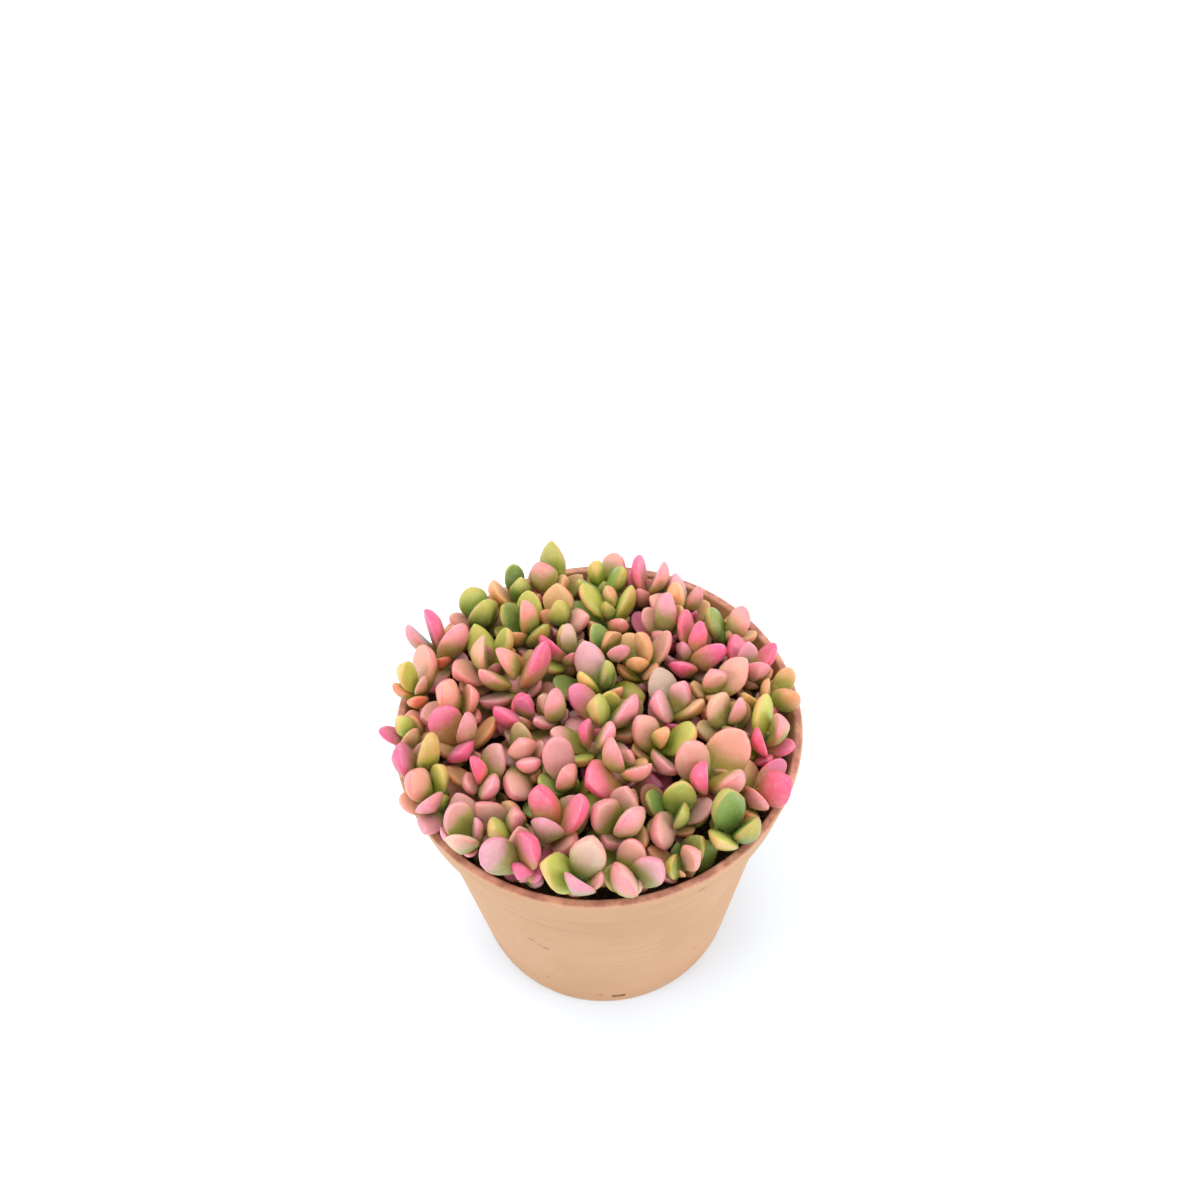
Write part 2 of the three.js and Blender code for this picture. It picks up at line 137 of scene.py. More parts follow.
# How far a leaf strays from the rule by its own draws. A pair is a least value and a span.
AZIMUTH_SCATTER = 22.0
LIFT_SCATTER = 16.0
TWIST_SCATTER = 40.0
LENGTH_SCATTER = 0.12
WIDTH_SCATTER = 0.15
THICKNESS_SCATTER = 0.14
BRIGHTNESS_SCATTER = 0.12
WARMTH_SCATTER = 0.09
POINT_POWER = 0.8
CURVE = (13, 12)
TURN_AT = (0.34, 0.6)
HOLLOW = (-0.2, 1.0)
KEEL = (0.0, 0.55)

# Room that a leaf looks for: it is tried shorter, turned, and raised or lowered
FEELER_SECTION = np.radians([0.0, 60.0, 120.0, 180.0, 240.0, 300.0])
FEELER_RINGS = np.array([0.14, 0.28, 0.42, 0.56, 0.7, 0.82, 0.92])
BLADE_FROM = 0.42
BLADE_CLEARANCE = 0.1
WALL_CLEARANCE = 0.6
SOIL_CLEARANCE = 0.5
NEIGHBOUR_REACH = 32.0
TRY_SCALES = (1.0, 0.88, 0.76, 0.64)
TRY_TURNS = (0, 12, -12, 26, -26, 42, -42, 70, -70, 105, -105, 150)
TRY_RAISES = (0, 7, -7, 15, -15, 24)
TRIES_AT_ONCE = 12
CLOSING_STEPS = 24
OVERHANG_RADIUS = 53.2
OPEN_SIDE = 45.0
OPEN_SIDE_GAP = 6.0

# Small leaves that fill gaps, which only the finished looks have. A pair is a least value and a span.
LOW_LEAVES = 6
RIM_LEAVES = 3
OUTER_PLANT_RADIUS = 35.0
LOW_LENGTH = 11.5
LOW_WIDTH = 7.4
LOW_THICKNESS = 4.4
LOW_SIZE_SCATTER = 0.15
LOW_LIFT = (18, 38)
LOW_ROOT_SHARE = (0.16, 0.4)
RIM_AZIMUTH_SCATTER = 80
RIM_LIFT = (40, 28)
RIM_ROOT_SHARE = (0.4, 0.45)
LOW_TRY_SCALES = (1.0, 0.8, 0.64, 0.5)
LOW_TRY_RAISES = (0, 12, 24, -12)
LOW_OVERHANG_RADIUS = 49.6

# How often each tone comes at the back left, and elsewhere
BACK_LEFT_CORNER = (8.0, 6.0)
TONES = [
    ("leaf_pink", 2, 5),
    ("leaf_magenta", 1, 2),
    ("leaf_peach", 3, 4),
    ("leaf_green", 4, 1),
    ("leaf_lime", 1, 2),
]

SEED = 29

# The photograph's own view, found from the pot's rim, collar and base. Pitch, yaw and roll are in degrees.
CAMERA_PLACE = (6.472, -147.157, 294.368)
CAMERA_ANGLES = (45.112, -0.027, -0.528)
LENS = {"sensor_width": 36.0, "lens": 30.674, "shift_x": -0.0195, "shift_y": -0.053, "clip_start": 0.01}

# Floor and lights, in metres and watts: name, place, the height of what it is aimed at, size and power
FLOOR_REACH = 6.0
# Painted shade on the floor, darker and cooler near the pot: full within the first distance from the middle
# and gone from the second
PAINTED_SHADE_WITHIN = 0.2
PAINTED_SHADE_GONE_FROM = 1.2
WORLD_STRENGTH = 1.12
LIGHTS = [
    ("soft_top", (-0.15, 0.2, 0.9), 0.06, 0.7, 2.2),
    ("soft_left", (-0.85, -0.3, 0.5), 0.05, 0.6, 3.3),
    ("soft_right", (0.85, -0.3, 0.45), 0.05, 0.6, 3.3),
]


# Repeatable draws


def product(a, b):
    return (a * b) & 0xFFFFFFFF


def draw(a, b, c):
    """A repeatable draw from 0 to 1, set by the numbers of a plant, a leaf and a purpose."""
    h = product(a + SEED, 0x9E3779B1) ^ product(b + 5, 0x85EBCA6B) ^ product(c + 3, 0xC2B2AE35)
    h = product(h ^ (h >> 15), 0x2C1B3C6D)
    h = product(h ^ (h >> 12), 0x297A2D39)
    h ^= h >> 15
    return h / 4294967296


def spread(a, b, c, size):
    """A repeatable draw from -size to size."""
    return (draw(a, b, c) * 2 - 1) * size


# Where each plant stands and how its crown leans


class Plant:
    def __init__(self, ring, place, index):
        count, radius, scatter = PLANT_RINGS[ring]
        share = place + spread(index, 0, 1, PLACE_SCATTER)
        turn = math.radians(share * 360 / count + ring * RING_OFFSET)
        reach = radius + spread(index, 0, 2, scatter)
        x = reach * math.cos(turn) + FIELD_SHIFT[0]
        y = reach * math.sin(turn) + FIELD_SHIFT[1]
        distance = min(FOOT_LIMIT, math.hypot(x, y))
        out_x, out_y = x / math.hypot(x, y), y / math.hypot(x, y)
        edge = min(1.0, distance / EDGE_RADIUS)
        drop = (CROWN_RISE_MIDDLE - CROWN_RISE_EDGE) * edge**2
        full_wards = max(0, math.cos(math.atan2(y, x) - math.radians(FULL_SIDE)))
        fullness = FULL_SIDE_RISE * edge**2 * full_wards
        self.rise = CROWN_RISE_MIDDLE - drop + fullness + spread(index, 0, 5, CROWN_RISE_SCATTER)
        lean = math.sin(math.radians(LEAN_AT_EDGE * edge**LEAN_POWER))
        stray_x, stray_y = spread(index, 0, 3, LEAN_SCATTER), spread(index, 0, 4, LEAN_SCATTER)
        excess = max(0, lean + stray_x * out_x + stray_y * out_y - (CROWN_LIMIT - distance) / self.rise)
        lean_x = (lean - excess) * out_x + stray_x
        lean_y = (lean - excess) * out_y + stray_y
        self.index = index
        self.foot = np.array([distance * out_x, distance * out_y, STEM_BEND])
        self.axis = np.array([lean_x, lean_y, math.sqrt(1 - lean_x**2 - lean_y**2)])
        side = np.cross([0.0, 1.0, 0.0], self.axis)
        self.side = side / np.linalg.norm(side)
        self.front = np.cross(self.axis, self.side)
        self.size = 1 + spread(index, 0, 6, SIZE_SCATTER)
        self.spin = draw(index, 0, 8) * 360
        self.leaves = []
        foot_ring = ring_around(self.foot, STEM_RADIUS)
        tip_ring = ring_around(self.on_stem(self.rise), STEM_TIP_RADIUS)
        self.stem = cloud_of(np.concatenate([foot_ring, tip_ring])[None])

    def on_stem(self, along):
        return self.foot + self.axis * along

    def tone(self):
        at_back_left = self.foot[0] < BACK_LEFT_CORNER[0] and self.foot[1] > BACK_LEFT_CORNER[1]
        zone = 1 if at_back_left else 2
        left = draw(self.index, 0, 30) * sum(tone[zone] for tone in TONES)
        for tone in TONES:
            left -= tone[zone]
            if left <= 0:
                return tone[0]


def ring_around(centre, radius):
    angles = np.arange(STEM_SIDES) * 2 * math.pi / STEM_SIDES
    rings = np.stack([np.cos(angles), np.sin(angles), np.zeros(STEM_SIDES)], 1)
    return centre + radius * rings


# Room for the leaves. A cloud is a batch of point sets, each with the ball that holds it.


def cloud_of(points):
    centre = (points / points.shape[1]).sum(1)
    radius = np.linalg.norm(points - centre[:, None], axis=2).max(1)
    return points, centre, radius


def are_parted(first, second, gap):
    """For each pair of point sets, whether a flat gap of the given width runs between the two. The vector
    between their nearest points is closed in on step by step."""
    between = first[1] - second[1]
    parted = np.linalg.norm(between, axis=1) > first[2] + second[2] + gap
    left = np.flatnonzero(~parted)
    between, these, those = between[left], first[0][left], second[0][left]
    for _ in range(CLOSING_STEPS):
        length = np.linalg.norm(between, axis=1)
        open_still = length >= gap
        left, between, length = left[open_still], between[open_still], length[open_still]
        these, those = these[open_still], those[open_still]
        if not len(left):
            break
        rows = np.arange(len(left))
        near = these[rows, np.einsum("pnc,pc->pn", these, between).argmin(1)]
        far = those[rows, np.einsum("pnc,pc->pn", those, between).argmax(1)]
        reach = near - far
        found = (reach * between).sum(1) > gap * length
        parted[left[found]] = True
        change = between - reach
        share = (between * change).sum(1) / np.maximum((change * change).sum(1), 1e-9)
        between = between - change * np.minimum(1.0, share)[:, None]
        left, between, these, those = left[~found], between[~found], these[~found], those[~found]
    return parted


def inner_radius(height):
    """The radius of the inner side of the wall at a height."""
    heights = [FLOOR_THICKNESS, WALL_TOP, INNER_COLLAR_FOOT, POT_HEIGHT - RIM_ROUNDING]
    inner_rim_radius = RIM_RADIUS - WALL_THICKNESS - 0.3
    radii = [INNER_BASE_RADIUS, INNER_WALL_TOP_RADIUS, INNER_COLLAR_FOOT_RADIUS, inner_rim_radius]
    return np.interp(height, heights, radii)


def wall_cloud():
    """The wall beside and above the soil, as one convex point set for each side of the solid model's pot."""
    section = [
        (float(inner_radius(SOIL_TOP)), SOIL_TOP),
        (COLLAR_FOOT_RADIUS, SOIL_TOP),
        (float(inner_radius(POT_HEIGHT)), POT_HEIGHT),
        (RIM_RADIUS, POT_HEIGHT),
    ]
    turns = np.arange(WALL_SIDES + 1) * 2 * math.pi / WALL_SIDES
    edges = [[(r * math.cos(turn), r * math.sin(turn), z) for r, z in section] for turn in turns]
    return cloud_of(np.concatenate([edges[:-1], edges[1:]], 1))


def are_in_place(points, farthest_out):
    """For each point set, whether all of it is above the soil, inside the wall and not far over the rim."""
    x, y, z = np.moveaxis(points, -1, 0)
    radius = np.hypot(x, y)
    facing = np.maximum(0, np.cos(np.arctan2(y, x) - math.radians(OPEN_SIDE)))
    near_enough = radius <= farthest_out - OPEN_SIDE_GAP * facing**2
    over_wall = z >= POT_HEIGHT + WALL_CLEARANCE
    inside = radius < inner_radius(z) - WALL_CLEARANCE
    return ((z > SOIL_TOP + SOIL_CLEARANCE) & near_enough & (inside | over_wall)).all(1)


def width_share(point, u):
    """How wide the leaf is at the shares u, against its widest place."""
    early = ROOT_WIDTH + (1 - ROOT_WIDTH) * np.sin(math.pi / 2 * np.minimum(1, u / WIDEST_AT))
    past = np.clip((u - WIDEST_AT) / (1 - WIDEST_AT), 0, 1)
    return early * (1 - past ** (WIDTH_FALL - point)) ** (WIDTH_ROUNDING + POINTED_ROUNDING * point)


def thickness_share(u):
    """How thick the leaf is at the shares u, against its thickest place."""
    early = ROOT_THICKNESS + (1 - ROOT_THICKNESS) * np.sin(math.pi / 2 * np.minimum(1, u / THICKEST_AT))
    past = np.clip((u - THICKEST_AT) / (1 - THICKEST_AT), 0, 1)
    return early * (1 - past**THICKNESS_FALL) ** THICKNESS_ROUNDING


class Leaf:
    """Leaf number k of a plant as it would grow by itself, counted from the youngest at the top."""

    try_scales = TRY_SCALES
    try_raises = TRY_RAISES
    farthest_out = OVERHANG_RADIUS

    def __init__(self, plant, k):
        age = k / (LEAVES_MOST - 1)
        size = plant.size
        self.plant = plant
        self.number = k
        self.azimuth = plant.spin + k * GOLDEN_ANGLE + self.vary(21, AZIMUTH_SCATTER)
        self.lift = LIFT_YOUNG - (LIFT_YOUNG - LIFT_OLD) * age**LIFT_POWER + self.vary(22, LIFT_SCATTER)
        length = YOUNG_LENGTH + (1 - YOUNG_LENGTH) * age**LENGTH_POWER + self.vary(23, LENGTH_SCATTER)
        width = YOUNG_WIDTH + (1 - YOUNG_WIDTH) * age**WIDTH_POWER + self.vary(24, WIDTH_SCATTER)
        thickness = YOUNG_THICKNESS + (1 - YOUNG_THICKNESS) * age + self.vary(25, THICKNESS_SCATTER)
        self.length = LEAF_LENGTH * size * length
        self.width = LEAF_WIDTH * size * width
        self.thickness = LEAF_THICKNESS * size * thickness
        self.point = self.draw(26) ** POINT_POWER
        self.twist = math.radians(self.vary(27, TWIST_SCATTER))
        self.curve = math.radians(self.ranged(28, *CURVE))
        self.turn_at = self.ranged(44, *TURN_AT)
        self.hollow = self.ranged(40, *HOLLOW)
        self.keel = self.ranged(45, *KEEL)
        self.root = plant.on_stem(plant.rise - TOP_LEAF_DEPTH - CROWN_SPAN * age)

    def draw(self, purpose):
        return draw(self.plant.index, self.number, purpose)

    def vary(self, purpose, size):
        return spread(self.plant.index, self.number, purpose, size)

    def ranged(self, purpose, least, span):
        return least + span * self.draw(purpose)

    def outwards(self, turns):
        angle = np.radians(self.azimuth + np.asarray(turns, float))[:, None]
        return self.plant.side * np.cos(angle) + self.plant.front * np.sin(angle)

    def lifts(self, raises):
        return np.radians(np.clip(self.lift + np.asarray(raises, float), LIFT_LOWEST, LIFT_HIGHEST))

    def middle(self, outward, lift, length, u):
        """Points of the middle line at the shares u, with the sines and cosines of its slope there."""
        start = (lift - CURVE_LAG * self.curve)[:, None]
        now = start + self.curve * u
        out = (np.sin(now) - np.sin(start)) / self.curve
        up = (np.cos(start) - np.cos(now)) / self.curve
        line = self.root + length * (out[..., None] * outward[:, None] + up[..., None] * self.plant.axis)
        return line, np.sin(now)[..., None], np.cos(now)[..., None]

    def clouds(self, scale, turns, raises):
        """The body and the blade of the leaf, for each turn and raise."""
        outward = self.outwards(turns)
        lift = self.lifts(raises)
        length = self.length * scale
        line, sine, cosine = self.middle(outward, lift, length, FEELER_RINGS)
        flat_up = self.plant.axis * cosine - outward[:, None] * sine
        flat_across = np.cross(self.plant.axis, outward)[:, None]
        across = flat_across * math.cos(self.twist) + flat_up * math.sin(self.twist)
        face = flat_up * math.cos(self.twist) - flat_across * math.sin(self.twist)
        half = self.width * scale / 2 * width_share(self.point, FEELER_RINGS)
        x = half[:, None] * np.cos(FEELER_SECTION)
        sines = np.sin(FEELER_SECTION)
        share = np.where(sines > 0, UPPER_SHARE, LOWER_SHARE) * sines
        y = (self.thickness * scale * thickness_share(FEELER_RINGS))[:, None] * share
        sideways = x[None, ..., None] * across[:, :, None]
        skin = line[:, :, None] + sideways + y[None, ..., None] * face[:, :, None]
        count = len(turns)
        root = np.broadcast_to(self.root, (count, 1, 3))
        tip = self.middle(outward, lift, length, np.array([1.0]))[0]
        body = np.concatenate([root, skin.reshape(count, -1, 3), tip], 1)
        blade = np.concatenate([skin[:, FEELER_RINGS >= BLADE_FROM].reshape(count, -1, 3), tip], 1)
        return cloud_of(body), cloud_of(blade)

    def settle(self, scale, turn, raised):
        """Takes on the form that has room."""
        self.outward = self.outwards([turn])[0]
        self.lift = float(self.lifts([raised])[0])
        self.length *= scale
        self.width *= scale
        self.thickness *= scale


class LowLeaf(Leaf):
    """A small leaf in room that the rosettes leave, low on the stem, or towards the rim on an outer plant."""

    try_scales = LOW_TRY_SCALES
    try_raises = LOW_TRY_RAISES
    farthest_out = LOW_OVERHANG_RADIUS

    def __init__(self, plant, k):
        super().__init__(plant, k)
        size = 1 + self.vary(51, LOW_SIZE_SCATTER)
        x, y = plant.foot[:2]
        if k < LEAVES_MOST + RIM_LEAVES and math.hypot(x, y) > OUTER_PLANT_RADIUS:
            self.azimuth = math.degrees(math.atan2(y, x)) + self.vary(52, RIM_AZIMUTH_SCATTER)
            self.lift = self.ranged(53, *RIM_LIFT)
            root_share = self.ranged(54, *RIM_ROOT_SHARE)
        else:
            self.azimuth = 360 * self.draw(52)
            self.lift = self.ranged(53, *LOW_LIFT)
            root_share = self.ranged(54, *LOW_ROOT_SHARE)
        self.length = LOW_LENGTH * size
        self.width = LOW_WIDTH * size
        self.thickness = LOW_THICKNESS * size
        self.root = plant.on_stem(plant.rise * root_share)


def gathered(clouds):
    """Several clouds of the same make as one batch, or nothing where there are none."""
    return tuple(np.concatenate(parts) for parts in zip(*clouds)) or None


def all_parted(tried, others, gap):
    """For each try, whether it is parted from all the others."""
    if others is None:
        return np.ones(len(tried[0]), bool)
    tries, count = len(tried[0]), len(others[0])
    near = np.linalg.norm(tried[1][:, None] - others[1], axis=2) <= tried[2][:, None] + others[2] + gap
    rows, columns = np.nonzero(near)
    parted = np.ones((tries, count), bool)
    if len(rows):
        first = tuple(part[rows] for part in tried)
        second = tuple(part[columns] for part in others)
        parted[rows, columns] = are_parted(first, second, gap)
    return parted.all(1)


def fit(leaf, plants, wall):
    """Gives the leaf its first form that has room, and says whether there is one."""
    home = leaf.plant
    near = [p for p in plants if p is not home and np.linalg.norm(p.foot - home.foot) < NEIGHBOUR_REACH]
    own = gathered([other.blade for other in home.leaves])
    stems = gathered([p.stem for p in near])
    bodies = gathered([other.body for p in near for other in p.leaves])
    tries = [(turn, raised) for turn in TRY_TURNS for raised in leaf.try_raises]
    for scale in leaf.try_scales:
        for start in range(0, len(tries), TRIES_AT_ONCE):
            turns, raises = zip(*tries[start : start + TRIES_AT_ONCE])
            body, blade = leaf.clouds(scale, turns, raises)
            fine = np.flatnonzero(are_in_place(body[0], leaf.farthest_out))
            for others, shape, gap in (
                (wall, body, GAP),
                (own, blade, BLADE_CLEARANCE),
                (stems, body, GAP),
                (bodies, body, GAP),
            ):
                if len(fine):
                    fine = fine[all_parted(tuple(part[fine] for part in shape), others, gap)]
            if len(fine):
                best = fine[0]
                leaf.settle(scale, turns[best], raises[best])
                leaf.body = tuple(part[best : best + 1] for part in body)
                leaf.blade = tuple(part[best : best + 1] for part in blade)
                return True
    return False


def grown_plants():
    plants = []
    for ring, (count, _, _) in enumerate(PLANT_RINGS):
        for place in range(count):
            plants.append(Plant(ring, place, len(plants)))
    wall = wall_cloud()
    for k, kind in enumerate([Leaf] * LEAVES_MOST + [LowLeaf] * LOW_LEAVES):
        for plant in plants:
            leaf = kind(plant, k)
            if fit(leaf, plants, wall):
                plant.leaves.append(leaf)
    return plants


# Node trees, where sums are written as Python expressions on wires


class Wire:
    """An output of a node. Numbers add up through Math nodes, and vectors through Vector Math."""

    def __init__(self, plan, output):
        self.plan = plan
        self.output = output
        self.is_vector = output.type in {"VECTOR", "RGBA"}

    def twin(self, name):
        """Another output of the same node."""
        return Wire(self.plan, self.output.node.outputs[name])


def operator_method(operation, swapped):
    """A method that writes a Python operator as a node."""

    def method(wire, other):
        first, second = (other, wire) if swapped else (wire, other)
        return wire.plan.reckon(operation, first, second)

    return method


OPERATORS = {"add": "ADD", "sub": "SUBTRACT", "mul": "MULTIPLY", "truediv": "DIVIDE", "pow": "POWER"}
for name, operation in OPERATORS.items():
    setattr(Wire, f"__{name}__", operator_method(operation, swapped=False))
    setattr(Wire, f"__r{name}__", operator_method(operation, swapped=True))


def is_vector(value):
    return getattr(value, "is_vector", False) or isinstance(value, (tuple, Vector))


class Plan:
    """A node tree under construction."""

    def __init__(self, tree):
        self.tree = tree

    def node(self, kind, settings=None, sockets=None, output=0):
        """Adds a node, sets it up and gives one of its outputs as a wire. Sockets go by name or by number."""
        made = self.tree.nodes.new(kind)
        for name, value in (settings or {}).items():
            setattr(made, name, value)
        for key, value in (sockets or {}).items():
            self.feed(made.inputs[key], value)
        return Wire(self, made.outputs[output]) if made.outputs else made

    def feed(self, socket, value):
        for one in value if isinstance(value, list) else [value]:
            if isinstance(one, Wire):
                self.tree.links.new(one.output, socket)
            else:
                socket.default_value = one

    def geometry(self, kind, sockets=None):
        """Adds a Geometry Nodes node, by the rest of its name."""
        return self.node("GeometryNode" + kind, {}, sockets)

    def coated(self, geometry, material):
        return self.geometry("SetMaterial", {"Geometry": geometry, "Material": material})

    def axes(self, place):
        """The X, Y and Z of a vector, as three wires."""
        split = self.node("ShaderNodeSeparateXYZ", {}, {0: place})
        return [split.twin(axis) for axis in "XYZ"]

    def combined(self, **axes):
        return self.node("ShaderNodeCombineXYZ", {}, axes)

    def root_of_squares(self, x, y):
        return self.number("SQRT", x * x + y * y)

    def reckon(self, operation, first, second):
        if not (is_vector(first) or is_vector(second)):
            return self.number(operation, first, second)
        if operation == "MULTIPLY" and not (is_vector(first) and is_vector(second)):
            vector, factor = (first, second) if is_vector(first) else (second, first)
            return self.node("ShaderNodeVectorMath", {"operation": "SCALE"}, {0: vector, "Scale": factor})
        return self.vector(operation, first, second)

    def number(self, operation, *values, clamp=False):
        settings = {"operation": operation, "use_clamp": clamp}
        return self.node("ShaderNodeMath", settings, dict(enumerate(values)))

    def vector(self, operation, *values, output=0):
        return self.node("ShaderNodeVectorMath", {"operation": operation}, dict(enumerate(values)), output)

    def step(self, value, low, high):
        """0 below low, 1 above high, and smooth between them."""
        settings = {"interpolation_type": "SMOOTHSTEP"}
        sockets = {"Value": value, "From Min": low, "From Max": high}
        return self.node("ShaderNodeMapRange", settings, sockets)

    def mix(self, share, first, second, blend="MIX"):
        """A blend of two colours."""
        settings = {"data_type": "RGBA", "blend_type": blend}
        return self.node("ShaderNodeMix", settings, {0: share, 6: first, 7: second}, output=2)


def geometry_plan(name, **inputs):
    """A Geometry Nodes plan, as (plan, wires of the inputs, identifiers of the inputs). Besides the geometry,
    its inputs are named for each kind of socket."""
    tree = bpy.data.node_groups.new(name, "GeometryNodeTree")
    identifiers = {}
    for kind, labels in {"Geometry": ["Geometry"], **inputs}.items():
        for label in labels:
            socket = tree.interface.new_socket(label, in_out="INPUT", socket_type="NodeSocket" + kind)
            identifiers[label] = socket.identifier
    tree.interface.new_socket("Geometry", in_out="OUTPUT", socket_type="NodeSocketGeometry")
    plan = Plan(tree)
    entry = plan.node("NodeGroupInput")
    return plan, {label: entry.twin(label) for label in identifiers}, identifiers


def grown_piece(name, mesh, plan, identifiers, values):
    """Runs a Geometry Nodes plan on a mesh and gives the result as a plain mesh object at the origin."""
    seed = placed(name + "_seed", mesh)
    modifier = seed.modifiers.new("Growth", "NODES")
    modifier.node_group = plan.tree
    for label, value in values.items():
        modifier[identifiers[label]] = value
    grown = evaluated_mesh(seed)
    grown.name = name
    seed.modifiers.remove(modifier)
    bpy.data.objects.remove(seed)
    return placed(name, grown)


def evaluated_mesh(piece):
    """The mesh of an object as its modifiers leave it."""
    evaluated = piece.evaluated_get(bpy.context.evaluated_depsgraph_get())
    return bpy.data.meshes.new_from_object(evaluated)


def placed(name, data):
    """An object of the mesh, light or camera data, at the origin."""
    piece = bpy.data.objects.new(name, data)
    bpy.context.scene.collection.objects.link(piece)
    return piece


def color(red, green, blue):
    """A colour given as it shows on a screen, from 0 to 255."""
    return tuple(((part / 255 + 0.055) / 1.055) ** 2.4 for part in (red, green, blue)) + (1.0,)


# Finishes


class Finish(Plan):
    """A material under construction, with a Principled shader."""

    def __init__(self, name, roughness):
        self.material = bpy.data.materials.new(name)
        self.material.use_nodes = True
        super().__init__(self.material.node_tree)
        self.shader = self.tree.nodes["Principled BSDF"]
        self.shade("Roughness", roughness)
        self.place = self.node("ShaderNodeTexCoord").twin("Object")

    def shade(self, socket, value):
        """Gives a socket of the shader a number, a colour or a wire."""
        self.feed(self.shader.inputs[socket], value)

    def attribute(self, name, output="Fac"):
        return self.node("ShaderNodeAttribute", {"attribute_name": name}, output=output)

    def noise(self, size, detail=3.0, roughness=0.55, stretch=None):
        """Noise from 0 to 1 with marks of about the given size in millimetres."""
        place = self.vector("MULTIPLY", self.place, stretch) if stretch else self.place
        sockets = {"Vector": place, "Scale": 1000 / size, "Detail": detail, "Roughness": roughness}
        return self.node("ShaderNodeTexNoise", {}, sockets)

    def bump(self, height, depth, strength=1.0):
        """Height is a wire from 0 to 1, and depth what a full step is worth, in millimetres."""
        sockets = {"Height": height, "Distance": depth * MM, "Strength": strength}
        self.shade("Normal", self.node("ShaderNodeBump", {}, sockets))


def leaf_finish():
    """Waxy skin: each leaf runs from its root tone through its body tone to its tip, with a tinted margin."""
    skin = Finish("leaf_skin", 0.42)
    along, upper, turn_at = skin.attribute("along"), skin.attribute("upper"), skin.attribute("turn_at")
    side = skin.number("ABSOLUTE", skin.attribute("across"))
    reach = along + (skin.noise(5.0, 2.0) - 0.5) * 0.34
    root, body, tip, face, edge = (skin.attribute(name, "Color") for name in COLOR_NAMES)
    tone = skin.mix(skin.step(reach - turn_at, -0.3, 0.28), root, body)
    tone = skin.mix(skin.step(reach, 0.5, 0.98), tone, tip)
    on_face = skin.step(upper, 0.0, 0.35) * skin.step(reach - turn_at, -0.35, 0.1) * 0.85
    tone = skin.mix(on_face, tone, face)
    margin = skin.step(side, 0.9, 1.0) * skin.step(reach, 0.3, 0.7)
    tone = skin.mix(margin * 0.45, tone, edge)
    cloudy = skin.noise(1.3, 4.0, 0.6)
    tone = skin.mix(skin.step(cloudy, 0.45, 0.75) * 0.12, tone, color(246, 222, 205))
    fine = skin.noise(0.35, 3.0, 0.6)
    tone = skin.mix(skin.step(fine, 0.6, 0.78) * 0.1, tone, color(120, 70, 70), "MULTIPLY")
    skin.shade("Base Color", tone)
    skin.shade("Roughness", 0.31 + 0.2 * cloudy)
    skin.shade("Subsurface Weight", 0.48)
    skin.shade("Subsurface Radius", (1.0, 0.45, 0.3))
    skin.shade("Subsurface Scale", 3.0 * MM)
    skin.shade("Specular IOR Level", 0.42)
    skin.bump(skin.noise(2.2) * 0.7 + fine * 0.3, 0.1, 0.7)
    return skin.material


def stem_finish():
    bark = Finish("stem_bark", 0.8)
    mottle = bark.noise(1.2, 4.0)
    bark.shade("Base Color", bark.mix(mottle, color(92, 64, 44), color(128, 112, 66)))
    bark.bump(mottle, 0.3)
    return bark.material


# Small scuffs on the pot's wall: azimuth in degrees, height, radius there and reach in millimetres, and depth
SCUFFS = [
    (-91.7, 6.8, 38.2, 0.9, 0.8),
    (-113.0, 13.8, 39.0, 1.1, 0.7),
    (-51.6, 20.0, 39.8, 1.0, 0.5),
    (-114.0, 44.0, 42.5, 1.5, 0.5),
    (-111.6, 42.2, 42.3, 1.3, 0.3),
    (-109.2, 41.4, 42.2, 1.3, 0.65),
    (-62.0, 79.5, 49.1, 1.6, 0.4),
    (-106.0, 13.0, 39.0, 1.2, 0.15),
    (24.0, 31.0, 41.0, 1.2, 0.5),
    (130.0, 52.0, 43.4, 1.3, 0.4),
    (176.0, 24.0, 40.2, 1.1, 0.5),
]
SCUFF_FLATNESS = 1.35
SCUFF_CORE = 0.3


def scuff_marks(pot, ragged):
    """A wire that is 0 on the clean wall and goes up to a scuff's depth in its middle."""
    flat = pot.vector("MULTIPLY", pot.place, (1.0, 1.0, SCUFF_FLATNESS))
    scuffs = 0.0
    for azimuth, height, out, reach, depth in SCUFFS:
        turn = math.radians(azimuth)
        middle = (out * math.cos(turn) * MM, out * math.sin(turn) * MM, height * SCUFF_FLATNESS * MM)
        away = pot.vector("DISTANCE", flat, middle, output="Value") + ragged
        mark = (1 - pot.step(away, reach * SCUFF_CORE * MM, reach * MM)) * depth
        scuffs = pot.number("MAXIMUM", scuffs, mark)
    return scuffs


